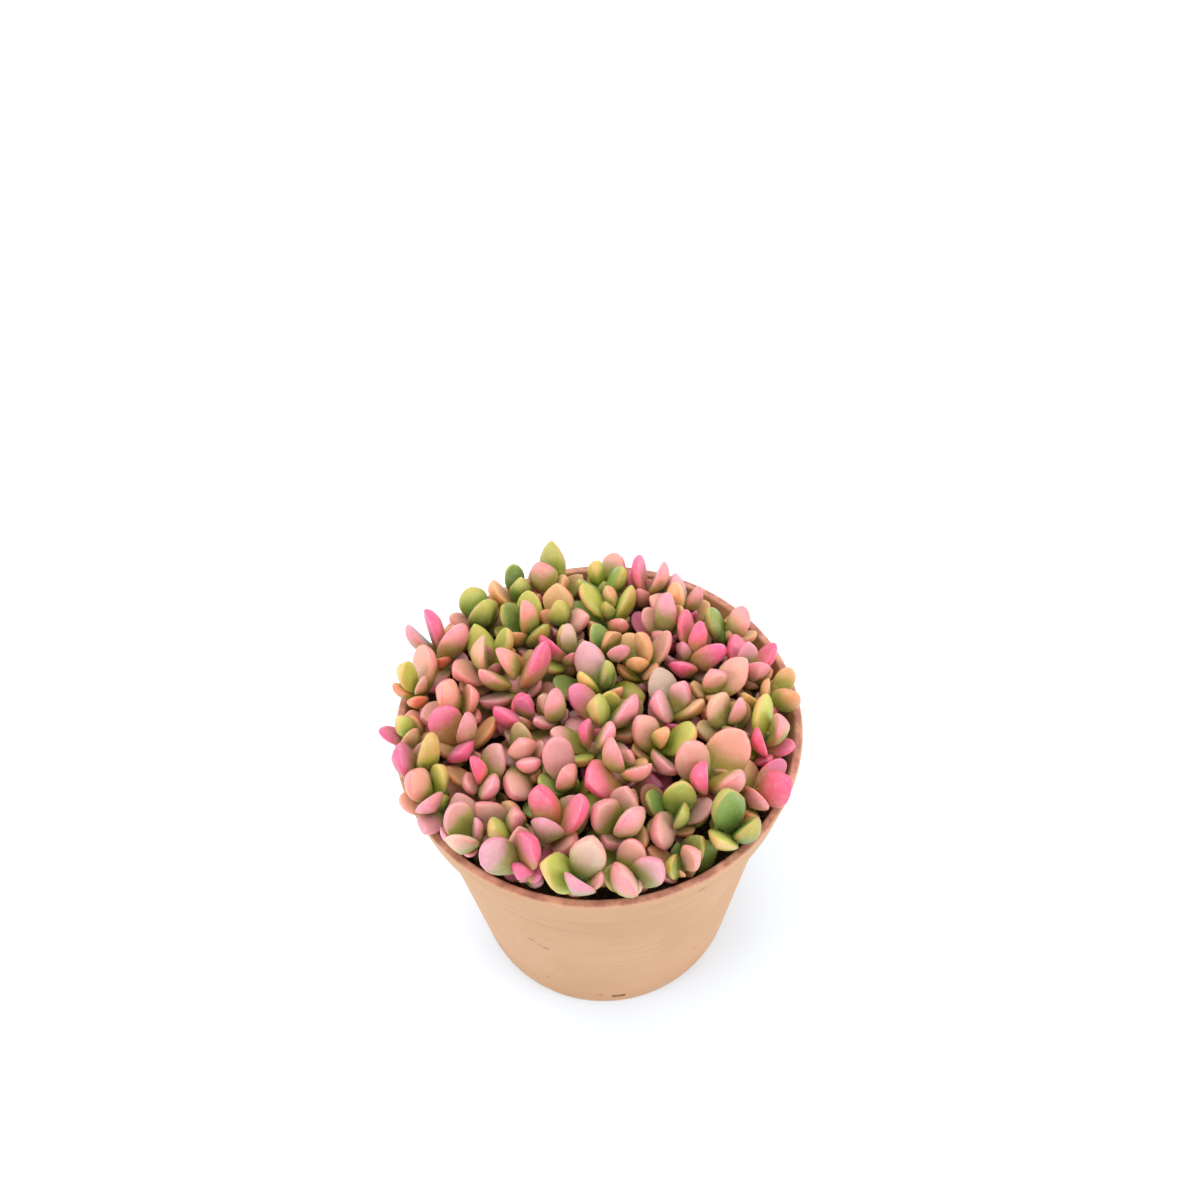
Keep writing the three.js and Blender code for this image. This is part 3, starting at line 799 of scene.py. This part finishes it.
def pot_finish():
    """Thin plastic in a faded terracotta tone with scuffs and streaks. The rim top and the inside are
    browner: painted shade, which on the inside goes with soil stain.
    """
    pot = Finish("terracotta_plastic", 0.55)
    x, y, z = pot.axes(pot.place)
    radius = pot.root_of_squares(x, y)
    cloudy = pot.noise(26.0)
    grain = pot.noise(0.9, 4.0, 0.65)
    ragged = (grain - 0.5) * MM
    wiped = pot.noise(32.0, 2.0)
    tone = pot.mix(pot.step(cloudy, 0.3, 0.7), color(188, 142, 98), color(196, 150, 109))
    lines = pot.noise(70.0, 6.0, 0.62, (1.0, 1.0, 62.0))
    high = pot.step(z, 50 * MM, 78 * MM) * 0.6 + 0.4
    dark = pot.step(lines, 0.54, 0.64) * pot.step(wiped, 0.42, 0.6) * high
    tone = pot.mix(dark * 0.36, tone, color(160, 114, 84))
    pale = (1 - pot.step(lines, 0.36, 0.44)) * pot.step(wiped, 0.36, 0.56) * high
    tone = pot.mix(pale * 0.24, tone, color(212, 172, 136))
    scuffs = scuff_marks(pot, ragged)
    tone = pot.mix(scuffs, tone, color(112, 64, 44))
    # Inside the wall: darker and browner, partly painted shade and partly soil stain.
    upright = radius - z * WALL_SLOPE
    inside = 1 - pot.step(upright, (BASE_RADIUS - 0.7) * MM, (BASE_RADIUS + 0.1) * MM)
    inside *= pot.step(z, (FLOOR_THICKNESS - 0.5) * MM, (FLOOR_THICKNESS + 0.5) * MM)
    inside_tone = pot.mix(pot.step(wiped, 0.35, 0.65), color(158, 96, 74), color(172, 110, 86))
    tone = pot.mix(inside, tone, inside_tone)
    # Rim top: painted shade from the leaves above it, browner and darker than the wall, mottled by wear and
    # lighter again along the rounded outer edge.
    rim_mottle = pot.step(pot.noise(5.0, 5.0, 0.65), 0.36, 0.66)
    shaded_rim_tone = pot.mix(rim_mottle, color(164, 104, 86), color(214, 152, 126))
    edge = pot.step(radius + ragged, (RIM_RADIUS - 0.65) * MM, (RIM_RADIUS - 0.25) * MM)
    shaded_rim_tone = pot.mix(edge * 0.7, shaded_rim_tone, color(206, 160, 128))
    top = pot.step(z, (POT_HEIGHT - 0.5) * MM, (POT_HEIGHT - 0.2) * MM)
    tone = pot.mix(top, tone, shaded_rim_tone)
    tone = pot.mix(pot.step(grain, 0.55, 0.8) * 0.07, tone, color(120, 78, 60))
    pot.shade("Base Color", tone)
    pot.shade("Roughness", 0.5 + 0.16 * grain + 0.08 * lines)
    pot.bump(grain * 0.5 + lines * 0.22 - scuffs * 0.3, 0.14, 0.7)
    return pot.material


def soil_finish(name, dark, light, size, relief):
    soil = Finish(name, 0.95)
    crumbs = soil.noise(size, 5.0, 0.7)
    soil.shade("Base Color", soil.mix(soil.step(crumbs, 0.35, 0.7), dark, light))
    soil.bump(crumbs, relief)
    return soil.material


# Leaf tones as they show on a screen: root, body, tip, upper face and margin
COLOR_NAMES = ("root_color", "body_color", "tip_color", "face_color", "edge_color")
LOOKS = {
    "blush": ((164, 160, 74), (226, 170, 128), (240, 156, 158), (230, 172, 156), (246, 120, 144)),
    "peach": ((158, 154, 62), (228, 178, 104), (240, 168, 120), (226, 182, 130), (244, 136, 118)),
    "tan": ((134, 142, 52), (206, 178, 96), (228, 168, 128), (206, 176, 124), (232, 138, 122)),
    "coral": ((152, 144, 58), (230, 160, 104), (238, 140, 114), (222, 166, 122), (244, 118, 110)),
    "green": ((96, 122, 46), (142, 166, 70), (190, 182, 90), (136, 162, 80), (214, 152, 114)),
    "lime": ((142, 158, 48), (198, 196, 82), (224, 188, 116), (188, 196, 92), (236, 170, 128)),
    "rose": ((190, 142, 88), (236, 116, 134), (242, 104, 144), (234, 130, 158), (248, 80, 130)),
    "mauve": ((164, 156, 86), (224, 166, 148), (238, 154, 168), (226, 168, 172), (244, 116, 154)),
    "pale": ((158, 162, 88), (216, 190, 142), (228, 176, 158), (218, 186, 162), (238, 150, 154)),
}

# A leaf takes a little less than its tone, because the light is strong
LEAF_DEPTH = 0.87

# How often each look comes among the leaves of a plant of each tone
MIXES = {
    "leaf_pink": {
        "blush": 3.6, "mauve": 2.6, "rose": 2, "peach": 1, "coral": 0.6, "tan": 1, "pale": 0.6, "lime": 0.5
    },
    "leaf_magenta": {"rose": 3.8, "blush": 2, "mauve": 2, "tan": 0.6, "green": 0.5, "coral": 0.6},
    "leaf_peach": {"peach": 2.6, "blush": 2.4, "coral": 1, "tan": 1.6, "lime": 0.8, "rose": 1, "pale": 0.5},
    "leaf_green": {"green": 2.5, "lime": 1.1, "peach": 1.2, "blush": 1.8, "tan": 1.4, "coral": 0.5},
    "leaf_lime": {"lime": 2.2, "green": 1, "peach": 1.1, "blush": 1.8, "tan": 1, "rose": 0.8},
}

# What the orange looks give way to on large leaves
LARGE_LEAF = 11.5
LARGE_LOOKS = {"coral": "blush", "peach": "blush", "tan": "mauve"}


def look_of(leaf, tone):
    weights = MIXES[tone]
    left = leaf.draw(61) * sum(weights.values())
    for look, weight in weights.items():
        left -= weight
        if left <= 0:
            return LOOKS[LARGE_LOOKS.get(look, look) if leaf.length > LARGE_LEAF else look]


def tinted(tone, leaf):
    """The tone a little lighter or darker, and warmer or cooler, from leaf to leaf."""
    bright = 1 + leaf.vary(42, BRIGHTNESS_SCATTER)
    warm = leaf.vary(43, WARMTH_SCATTER)
    shares = (bright * (1 + warm), bright, bright * (1 - warm))
    return tuple(min(1.0, LEAF_DEPTH * part * share) for part, share in zip(color(*tone), shares)) + (1.0,)


# Plants


def leaf_plan():
    """Each point of the input is a leaf. Its attributes say where the leaf grows and how large it is."""
    plan, given, identifiers = geometry_plan(
        "sand_rose",
        Vector=["Stem Foot", "Stem Top"],
        Float=["Stem Radius", "Stem Tip Radius", "Unevenness"],
        Int=["Leaf Segments", "Leaf Rings"],
        Material=["Leaf Finish", "Stem Finish"],
    )

    def held(name, kind="FLOAT"):
        return plan.node("GeometryNodeInputNamedAttribute", {"data_type": kind}, {"Name": name})

    def stored(geometry, name, value):
        settings = {"data_type": "FLOAT", "domain": "POINT"}
        sockets = {"Geometry": geometry, "Name": name, "Value": value}
        return plan.node("GeometryNodeStoreNamedAttribute", settings, sockets)

    ball_sockets = {"Segments": given["Leaf Segments"], "Rings": given["Leaf Rings"], "Radius": 1.0}
    ball = plan.geometry("MeshUVSphere", ball_sockets)
    x, y, z = plan.axes(plan.geometry("InputPosition"))
    radius = plan.number("MAXIMUM", plan.root_of_squares(x, y), 1e-6)
    ball = stored(ball, "along", 0.5 - z * 0.5)
    ball = stored(ball, "across", x / radius)
    ball = stored(ball, "upper", y / radius)
    leaves = plan.geometry("InstanceOnPoints", {"Points": given["Geometry"], "Instance": ball})
    leaves = plan.geometry("RealizeInstances", {"Geometry": leaves})

    u, cosine, sine = held("along"), held("across"), held("upper")
    point, curve, twist = held("point"), held("curve"), held("twist")
    outward, axis = held("outward", "FLOAT_VECTOR"), held("axis", "FLOAT_VECTOR")
    quarter = math.pi / 2

    def rising(start, full_at):
        swell = plan.number("SINE", quarter * plan.number("MINIMUM", u / full_at, 1.0))
        return start + (1 - start) * swell

    def past(full_at):
        return plan.number("MULTIPLY", u - full_at, 1 / (1 - full_at), clamp=True)

    width_fall = (1 - past(WIDEST_AT) ** (WIDTH_FALL - point)) ** (WIDTH_ROUNDING + POINTED_ROUNDING * point)
    width_now = rising(ROOT_WIDTH, WIDEST_AT) * width_fall
    thickness_fall = (1 - past(THICKEST_AT) ** THICKNESS_FALL) ** THICKNESS_ROUNDING
    thickness_now = rising(ROOT_THICKNESS, THICKEST_AT) * thickness_fall
    start = held("lift") - CURVE_LAG * curve
    now = start + curve * u
    out = (plan.number("SINE", now) - plan.number("SINE", start)) / curve
    up = (plan.number("COSINE", start) - plan.number("COSINE", now)) / curve
    length = held("length")
    centre = held("root", "FLOAT_VECTOR") + outward * (length * out) + axis * (length * up)
    flat_up = axis * plan.number("COSINE", now) - outward * plan.number("SINE", now)
    flat_across = plan.vector("CROSS_PRODUCT", axis, outward)
    across = flat_across * plan.number("COSINE", twist) + flat_up * plan.number("SINE", twist)
    face = flat_up * plan.number("COSINE", twist) - flat_across * plan.number("SINE", twist)
    above = plan.number("GREATER_THAN", sine, 0.0)
    edged = plan.number("ABSOLUTE", sine) ** SECTION_POWER
    top = UPPER_SHARE * edged * (1 - held("hollow") * edged)
    ridged = 1 - plan.number("ABSOLUTE", cosine)
    below = LOWER_SHARE * (edged + (ridged - edged) * held("keel"))
    height = above * top - (1 - above) * below
    x = held("width") * 0.5 * width_now * cosine
    y = held("thickness") * thickness_now * height
    place = centre + across * x + face * y
    leaves = plan.geometry("SetPosition", {"Geometry": leaves, "Position": place})
    lumps = plan.node("ShaderNodeTexNoise", {}, {"Scale": 260.0, "Detail": 1.0}) - 0.5
    push = plan.geometry("InputNormal") * (lumps * given["Unevenness"])
    leaves = plan.geometry("SetPosition", {"Geometry": leaves, "Offset": push})
    leaves = plan.coated(leaves, given["Leaf Finish"])

    line = plan.geometry("CurvePrimitiveLine", {"Start": given["Stem Foot"], "End": given["Stem Top"]})
    line = plan.geometry("ResampleCurve", {"Curve": line, "Count": TUBE_RINGS})
    share = plan.geometry("SplineParameter").twin("Factor")
    girth = given["Stem Radius"] + (given["Stem Tip Radius"] - given["Stem Radius"]) * share
    circle = plan.geometry("CurvePrimitiveCircle", {"Resolution": TUBE_SIDES, "Radius": 1.0})
    tube_sockets = {"Curve": line, "Profile Curve": circle, "Scale": girth, "Fill Caps": True}
    tube = plan.coated(plan.geometry("CurveToMesh", tube_sockets), given["Stem Finish"])
    whole = plan.geometry("JoinGeometry", {"Geometry": [leaves, tube]})
    whole = plan.geometry("SetShadeSmooth", {"Geometry": whole, "Shade Smooth": True})
    plan.node("NodeGroupOutput", {}, {"Geometry": whole})
    return plan, identifiers


def leaf_points(plant):
    """A mesh of one point for each leaf of a plant, with the attributes that the leaves grow by."""
    leaves = plant.leaves
    tone = plant.tone()
    mesh = bpy.data.meshes.new("leaf_points")
    mesh.from_pydata([tuple(leaf.root * MM) for leaf in leaves], [], [])
    units = dict.fromkeys(("lift", "curve", "twist", "point", "turn_at", "hollow", "keel"), 1)
    units |= dict.fromkeys(("length", "width", "thickness"), MM)
    vectors = {
        "root": [leaf.root * MM for leaf in leaves],
        "outward": [leaf.outward for leaf in leaves],
        "axis": [plant.axis for _ in leaves],
    }

    def write(name, kind, field, values):
        flat = np.array(values, np.float32).ravel()
        mesh.attributes.new(name, kind, "POINT").data.foreach_set(field, flat)

    for name, unit in units.items():
        write(name, "FLOAT", "value", [getattr(leaf, name) * unit for leaf in leaves])
    for name, values in vectors.items():
        write(name, "FLOAT_VECTOR", "vector", values)
    looks = [look_of(leaf, tone) for leaf in leaves]
    for number, name in enumerate(COLOR_NAMES):
        write(name, "FLOAT_COLOR", "color", [tinted(look[number], leaf) for look, leaf in zip(looks, leaves)])
    return mesh


def make_plants(plants):
    plan, identifiers = leaf_plan()
    leaf_skin = leaf_finish()
    stem_bark = stem_finish()
    for plant in plants:
        node = f"rosette_{plant.index + 1:02d}"
        values = {
            "Stem Foot": tuple((plant.foot - np.array([0, 0, STEM_DEPTH])) * MM),
            "Stem Top": tuple(plant.on_stem(plant.rise) * MM),
            "Stem Radius": STEM_RADIUS * MM,
            "Stem Tip Radius": STEM_TIP_RADIUS * MM,
            "Leaf Segments": 16,
            "Leaf Rings": 12,
            "Unevenness": 0.35 * MM,
            "Leaf Finish": leaf_skin,
            "Stem Finish": stem_bark,
        }
        piece = grown_piece(node.replace("rosette", "plant"), leaf_points(plant), plan, identifiers, values)
        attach(piece, "root")
        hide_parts(node)
        plant.tone()


# Pot


def turned_mesh(name, profile, segments):
    """A closed solid of revolution round Z. The profile runs from the axis below, up the outside and back."""
    angles = np.arange(segments) * 2 * math.pi / segments
    points = []
    rings = []
    for radius, height in profile:
        if radius == 0:
            rings.append([len(points)] * segments)
            points.append((0.0, 0.0, height * MM))
        else:
            rings.append(list(range(len(points), len(points) + segments)))
            points += [(radius * MM * math.cos(a), radius * MM * math.sin(a), height * MM) for a in angles]
    faces = []
    for low, high in zip(rings, rings[1:]):
        for s in range(segments):
            t = (s + 1) % segments
            corners = [low[s], low[t], high[t], high[s]]
            faces.append(list(dict.fromkeys(corners)))
    mesh = bpy.data.meshes.new(name)
    mesh.from_pydata(points, [], faces)
    return mesh


def rounded(corner, before, after, radius, steps=4):
    """Points of a fillet at a corner of a profile."""
    corner, before, after = Vector(corner), Vector(before), Vector(after)
    start = corner + (before - corner).normalized() * radius
    end = corner + (after - corner).normalized() * radius
    points = []
    for step in range(steps + 1):
        t = step / steps
        point = start * (1 - t) ** 2 + corner * (2 * t * (1 - t)) + end * t**2
        points.append((point.x, point.y))
    return points


def pot_profile():
    """The pot's outline from the axis below, up the outside and down the inside, with its corners rounded."""
    corners = [
        (0.0, 0.0, 0),
        (BASE_RADIUS - 3.0, 0.0, 0),
        (BASE_RADIUS - 0.1, 0.0, 0.5),
        (BASE_RADIUS + 0.1, 1.2, 0.4),
        (WALL_TOP_RADIUS, WALL_TOP, 0.5),
        (COLLAR_FOOT_RADIUS, COLLAR_FOOT, 0.5),
        (RIM_RADIUS, POT_HEIGHT, 0.6),
        (RIM_RADIUS - WALL_THICKNESS - 0.2, POT_HEIGHT, 0.6),
        (INNER_COLLAR_FOOT_RADIUS, INNER_COLLAR_FOOT, 0.6),
        (INNER_WALL_TOP_RADIUS, WALL_TOP, 0.8),
        (INNER_BASE_RADIUS, FLOOR_THICKNESS, 1.0),
        (0.0, FLOOR_THICKNESS, 0),
    ]
    profile = []
    for number, (radius, height, rounding) in enumerate(corners):
        if rounding:
            before, after = corners[number - 1][:2], corners[number + 1][:2]
            profile += rounded((radius, height), before, after, rounding)
        else:
            profile.append((radius, height))
    return profile


def hole_plan():
    """Copies of the input on a ring round Z, turned to face outwards."""
    places = ["Ring Radius", "First Turn", "Level"]
    plan, given, identifiers = geometry_plan("ring_of_holes", Int=["Count"], Float=places)
    points = plan.geometry("Points", {"Count": given["Count"]})
    number = plan.geometry("InputIndex")
    angle = given["First Turn"] + number * (2 * math.pi) / given["Count"]
    x = given["Ring Radius"] * plan.number("COSINE", angle)
    y = given["Ring Radius"] * plan.number("SINE", angle)
    place = plan.combined(X=x, Y=y, Z=given["Level"])
    points = plan.geometry("SetPosition", {"Geometry": points, "Position": place})
    sockets = {"Points": points, "Instance": given["Geometry"], "Rotation": plan.combined(Z=angle)}
    holes = plan.geometry("InstanceOnPoints", sockets)
    holes = plan.geometry("RealizeInstances", {"Geometry": holes})
    plan.node("NodeGroupOutput", {}, {"Geometry": holes})
    return plan, identifiers


def hole_cutters():
    """The drain holes through the floor and the narrow slots at the foot of the wall."""
    plan, identifiers = hole_plan()
    drain = bmesh.new()
    radius = DRAIN_RADIUS * MM
    depth = FLOOR_THICKNESS * 3 * MM
    bmesh.ops.create_cone(drain, cap_ends=True, segments=24, radius1=radius, radius2=radius, depth=depth)
    slot = bmesh.new()
    bmesh.ops.create_cube(slot, size=1.0)
    bmesh.ops.scale(slot, vec=(WALL_THICKNESS * 4 * MM, SLOT_WIDTH * MM, SLOT_HEIGHT * MM), verts=slot.verts)
    made = []
    rings = [
        ("drain_cutter", drain, DRAIN_COUNT, DRAIN_RING_RADIUS, 0.0, 0.0),
        ("slot_cutter", slot, SLOT_COUNT, BASE_RADIUS, math.radians(SLOT_AZIMUTH), SLOT_LEVEL),
    ]
    for name, shape, count, radius, first, level in rings:
        mesh = bpy.data.meshes.new(name)
        shape.to_mesh(mesh)
        shape.free()
        values = {"Count": count, "Ring Radius": radius * MM, "First Turn": first, "Level": level * MM}
        made.append(grown_piece(name, mesh, plan, identifiers, values))
    return made


def make_pot():
    pot = placed("pot_body", turned_mesh("pot_body", pot_profile(), POT_SEGMENTS))
    cutters = hole_cutters()
    for cutter in cutters:
        modifier = pot.modifiers.new(cutter.name, "BOOLEAN")
        modifier.operation = "DIFFERENCE"
        modifier.solver = "EXACT"
        modifier.object = cutter
    mesh = evaluated_mesh(pot)
    pot.modifiers.clear()
    pot.data = mesh
    for cutter in cutters:
        bpy.data.objects.remove(cutter)
    mesh.polygons.foreach_set("use_smooth", [True] * len(mesh.polygons))
    mesh.set_sharp_from_angle(angle=math.radians(32))
    mesh.materials.clear()
    mesh.materials.append(pot_finish())
    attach(pot, "root")
    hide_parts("pot")


# Soil


def soil_plan():
    """A crumbly top on a plug of soil, with loose crumbs and a few pale grains lying on it."""
    shape = ["Top Level", "Top Radius", "Relief"]
    scatter = ["Crumb Density", "Crumb Size", "Grain Density", "Grain Size"]
    finishes = ["Soil Finish", "Grain Finish"]
    plan, given, identifiers = geometry_plan(
        "soil_surface", Float=shape + scatter, Int=["Seed"], Material=finishes
    )
    x, y, z = plan.axes(plan.geometry("InputPosition"))
    radius = plan.root_of_squares(x, y)
    on_top = plan.number("GREATER_THAN", z, given["Top Level"] - 0.1 * MM)
    free = on_top * plan.step(given["Top Radius"] - radius, 0.0, 3 * MM)
    lumps = plan.node("ShaderNodeTexNoise", {}, {"Scale": 330.0, "Detail": 4.0, "Roughness": 0.6}) - 0.45
    lift = plan.combined(Z=lumps * given["Relief"] * free)
    ground = plan.geometry("SetPosition", {"Geometry": given["Geometry"], "Offset": lift})

    def random_vector(least, most, seed):
        settings = {"data_type": "FLOAT_VECTOR"}
        return plan.node("FunctionNodeRandomValue", settings, {0: least, 1: most, "Seed": seed})

    def scattered(density, size, seed, least, finish):
        sockets = {"Mesh": ground, "Selection": on_top, "Density": density, "Seed": seed}
        points = plan.geometry("DistributePointsOnFaces", sockets)
        grain = plan.geometry("MeshIcoSphere", {"Radius": 1.0, "Subdivisions": 1})
        rough = plan.node("ShaderNodeTexNoise", {}, {"Scale": 1.4, "Detail": 1.0}, "Color") - (0.5, 0.5, 0.5)
        grain = plan.geometry("SetPosition", {"Geometry": grain, "Offset": rough * 0.9})
        turn = random_vector((0.0, 0.0, 0.0), (6.28, 6.28, 6.28), seed)
        shrink = random_vector(least, (1.0, 1.0, 0.9), seed + 1)
        sockets = {"Points": points, "Instance": grain, "Rotation": turn, "Scale": shrink * size}
        return plan.coated(plan.geometry("InstanceOnPoints", sockets), finish)

    seed, crumb, grain = given["Seed"], given["Soil Finish"], given["Grain Finish"]
    crumbs = scattered(given["Crumb Density"], given["Crumb Size"], seed, (0.35, 0.35, 0.3), crumb)
    grains = scattered(given["Grain Density"], given["Grain Size"], seed + 7, (0.5, 0.5, 0.4), grain)
    ground = plan.coated(ground, crumb)
    whole = plan.geometry("JoinGeometry", {"Geometry": [ground, crumbs, grains]})
    whole = plan.geometry("RealizeInstances", {"Geometry": whole})
    plan.node("NodeGroupOutput", {}, {"Geometry": whole})
    return plan, identifiers


def make_soil():
    floor = FLOOR_THICKNESS + GAP
    edge = float(inner_radius(SOIL_TOP)) - 2 * GAP
    profile = [
        (0.0, floor),
        (float(inner_radius(floor)) - GAP, floor),
        (float(inner_radius(WALL_TOP - GAP)) - GAP, WALL_TOP),
    ]
    profile += [(edge * (1 - ring / SOIL_RINGS), SOIL_TOP) for ring in range(SOIL_RINGS + 1)]
    plan, identifiers = soil_plan()
    values = {
        "Top Level": SOIL_TOP * MM,
        "Top Radius": edge * MM,
        "Relief": 3.0 * MM,
        "Crumb Density": 420000.0,
        "Crumb Size": 0.8 * MM,
        "Grain Density": 16000.0,
        "Grain Size": 1.0 * MM,
        "Seed": 3,
        "Soil Finish": soil_finish("dark_soil", color(54, 38, 28), color(108, 82, 62), 1.2, 0.5),
        "Grain Finish": soil_finish("pale_grit", color(150, 132, 110), color(208, 196, 176), 0.8, 0.2),
    }
    soil = grown_piece("soil_bed", turned_mesh("soil_bed", profile, SOIL_SEGMENTS), plan, identifiers, values)
    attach(soil, "root")
    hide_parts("soil")


# Floor, light and camera


def make_floor():
    """A wide pale floor, with painted shade near the pot: darker and cooler there, against the pool of light
    and the warm bounce from the pot.
    """
    mesh = bpy.data.meshes.new("floor")
    corners = [(FLOOR_REACH * x, FLOOR_REACH * y, 0) for x, y in ((-1, -1), (1, -1), (1, 1), (-1, 1))]
    mesh.from_pydata(corners, [], [(0, 1, 2, 3)])
    pale = Finish("pale_floor", 0.7)
    away = pale.vector("LENGTH", pale.place, output="Value")
    beyond_painted_shade = pale.step(away, PAINTED_SHADE_WITHIN, PAINTED_SHADE_GONE_FROM)
    # Painted shade: the floor is darker and cooler near the pot and plain pale further out.
    pale.shade("Base Color", pale.mix(beyond_painted_shade, color(229, 240, 251), color(250, 251, 252)))
    mesh.materials.append(pale.material)
    placed("floor", mesh)


def area_light(name, place, aim_height, size, power):
    light = bpy.data.lights.new(name, "AREA")
    light.shape = "DISK"
    light.size = size
    light.energy = power
    lamp = placed(name, light)
    lamp.location = place
    lamp.rotation_euler = (Vector((0, 0, aim_height)) - Vector(place)).to_track_quat("-Z", "Y").to_euler()


def make_light():
    world = bpy.data.worlds.new("studio")
    world.use_nodes = True
    background = world.node_tree.nodes["Background"]
    background.inputs["Color"].default_value = (1.0, 1.0, 1.0, 1.0)
    background.inputs["Strength"].default_value = WORLD_STRENGTH
    bpy.context.scene.world = world
    for light in LIGHTS:
        area_light(*light)


def make_camera():
    """The photograph's own view."""
    pitch, yaw, roll = (math.radians(angle) for angle in CAMERA_ANGLES)
    ahead = Vector((math.sin(yaw) * math.cos(pitch), math.cos(yaw) * math.cos(pitch), -math.sin(pitch)))
    right = Vector((math.cos(yaw), -math.sin(yaw), 0))
    up = right.cross(ahead)
    tilted_right = right * math.cos(roll) + up * math.sin(roll)
    tilted_up = up * math.cos(roll) - right * math.sin(roll)
    turn = Matrix((tilted_right, tilted_up, -ahead)).transposed()
    camera = placed("camera", bpy.data.cameras.new("camera"))
    camera.matrix_world = Matrix.Translation(Vector(CAMERA_PLACE) * MM) @ turn.to_4x4()
    for name, value in LENS.items():
        setattr(camera.data, name, value)
    bpy.context.scene.camera = camera


plants = grown_plants()
make_camera()
make_pot()
make_soil()
make_plants(plants)
make_floor()
make_light()
bpy.context.scene.view_settings.view_transform = "Standard"

bpy.context.view_layer.update()
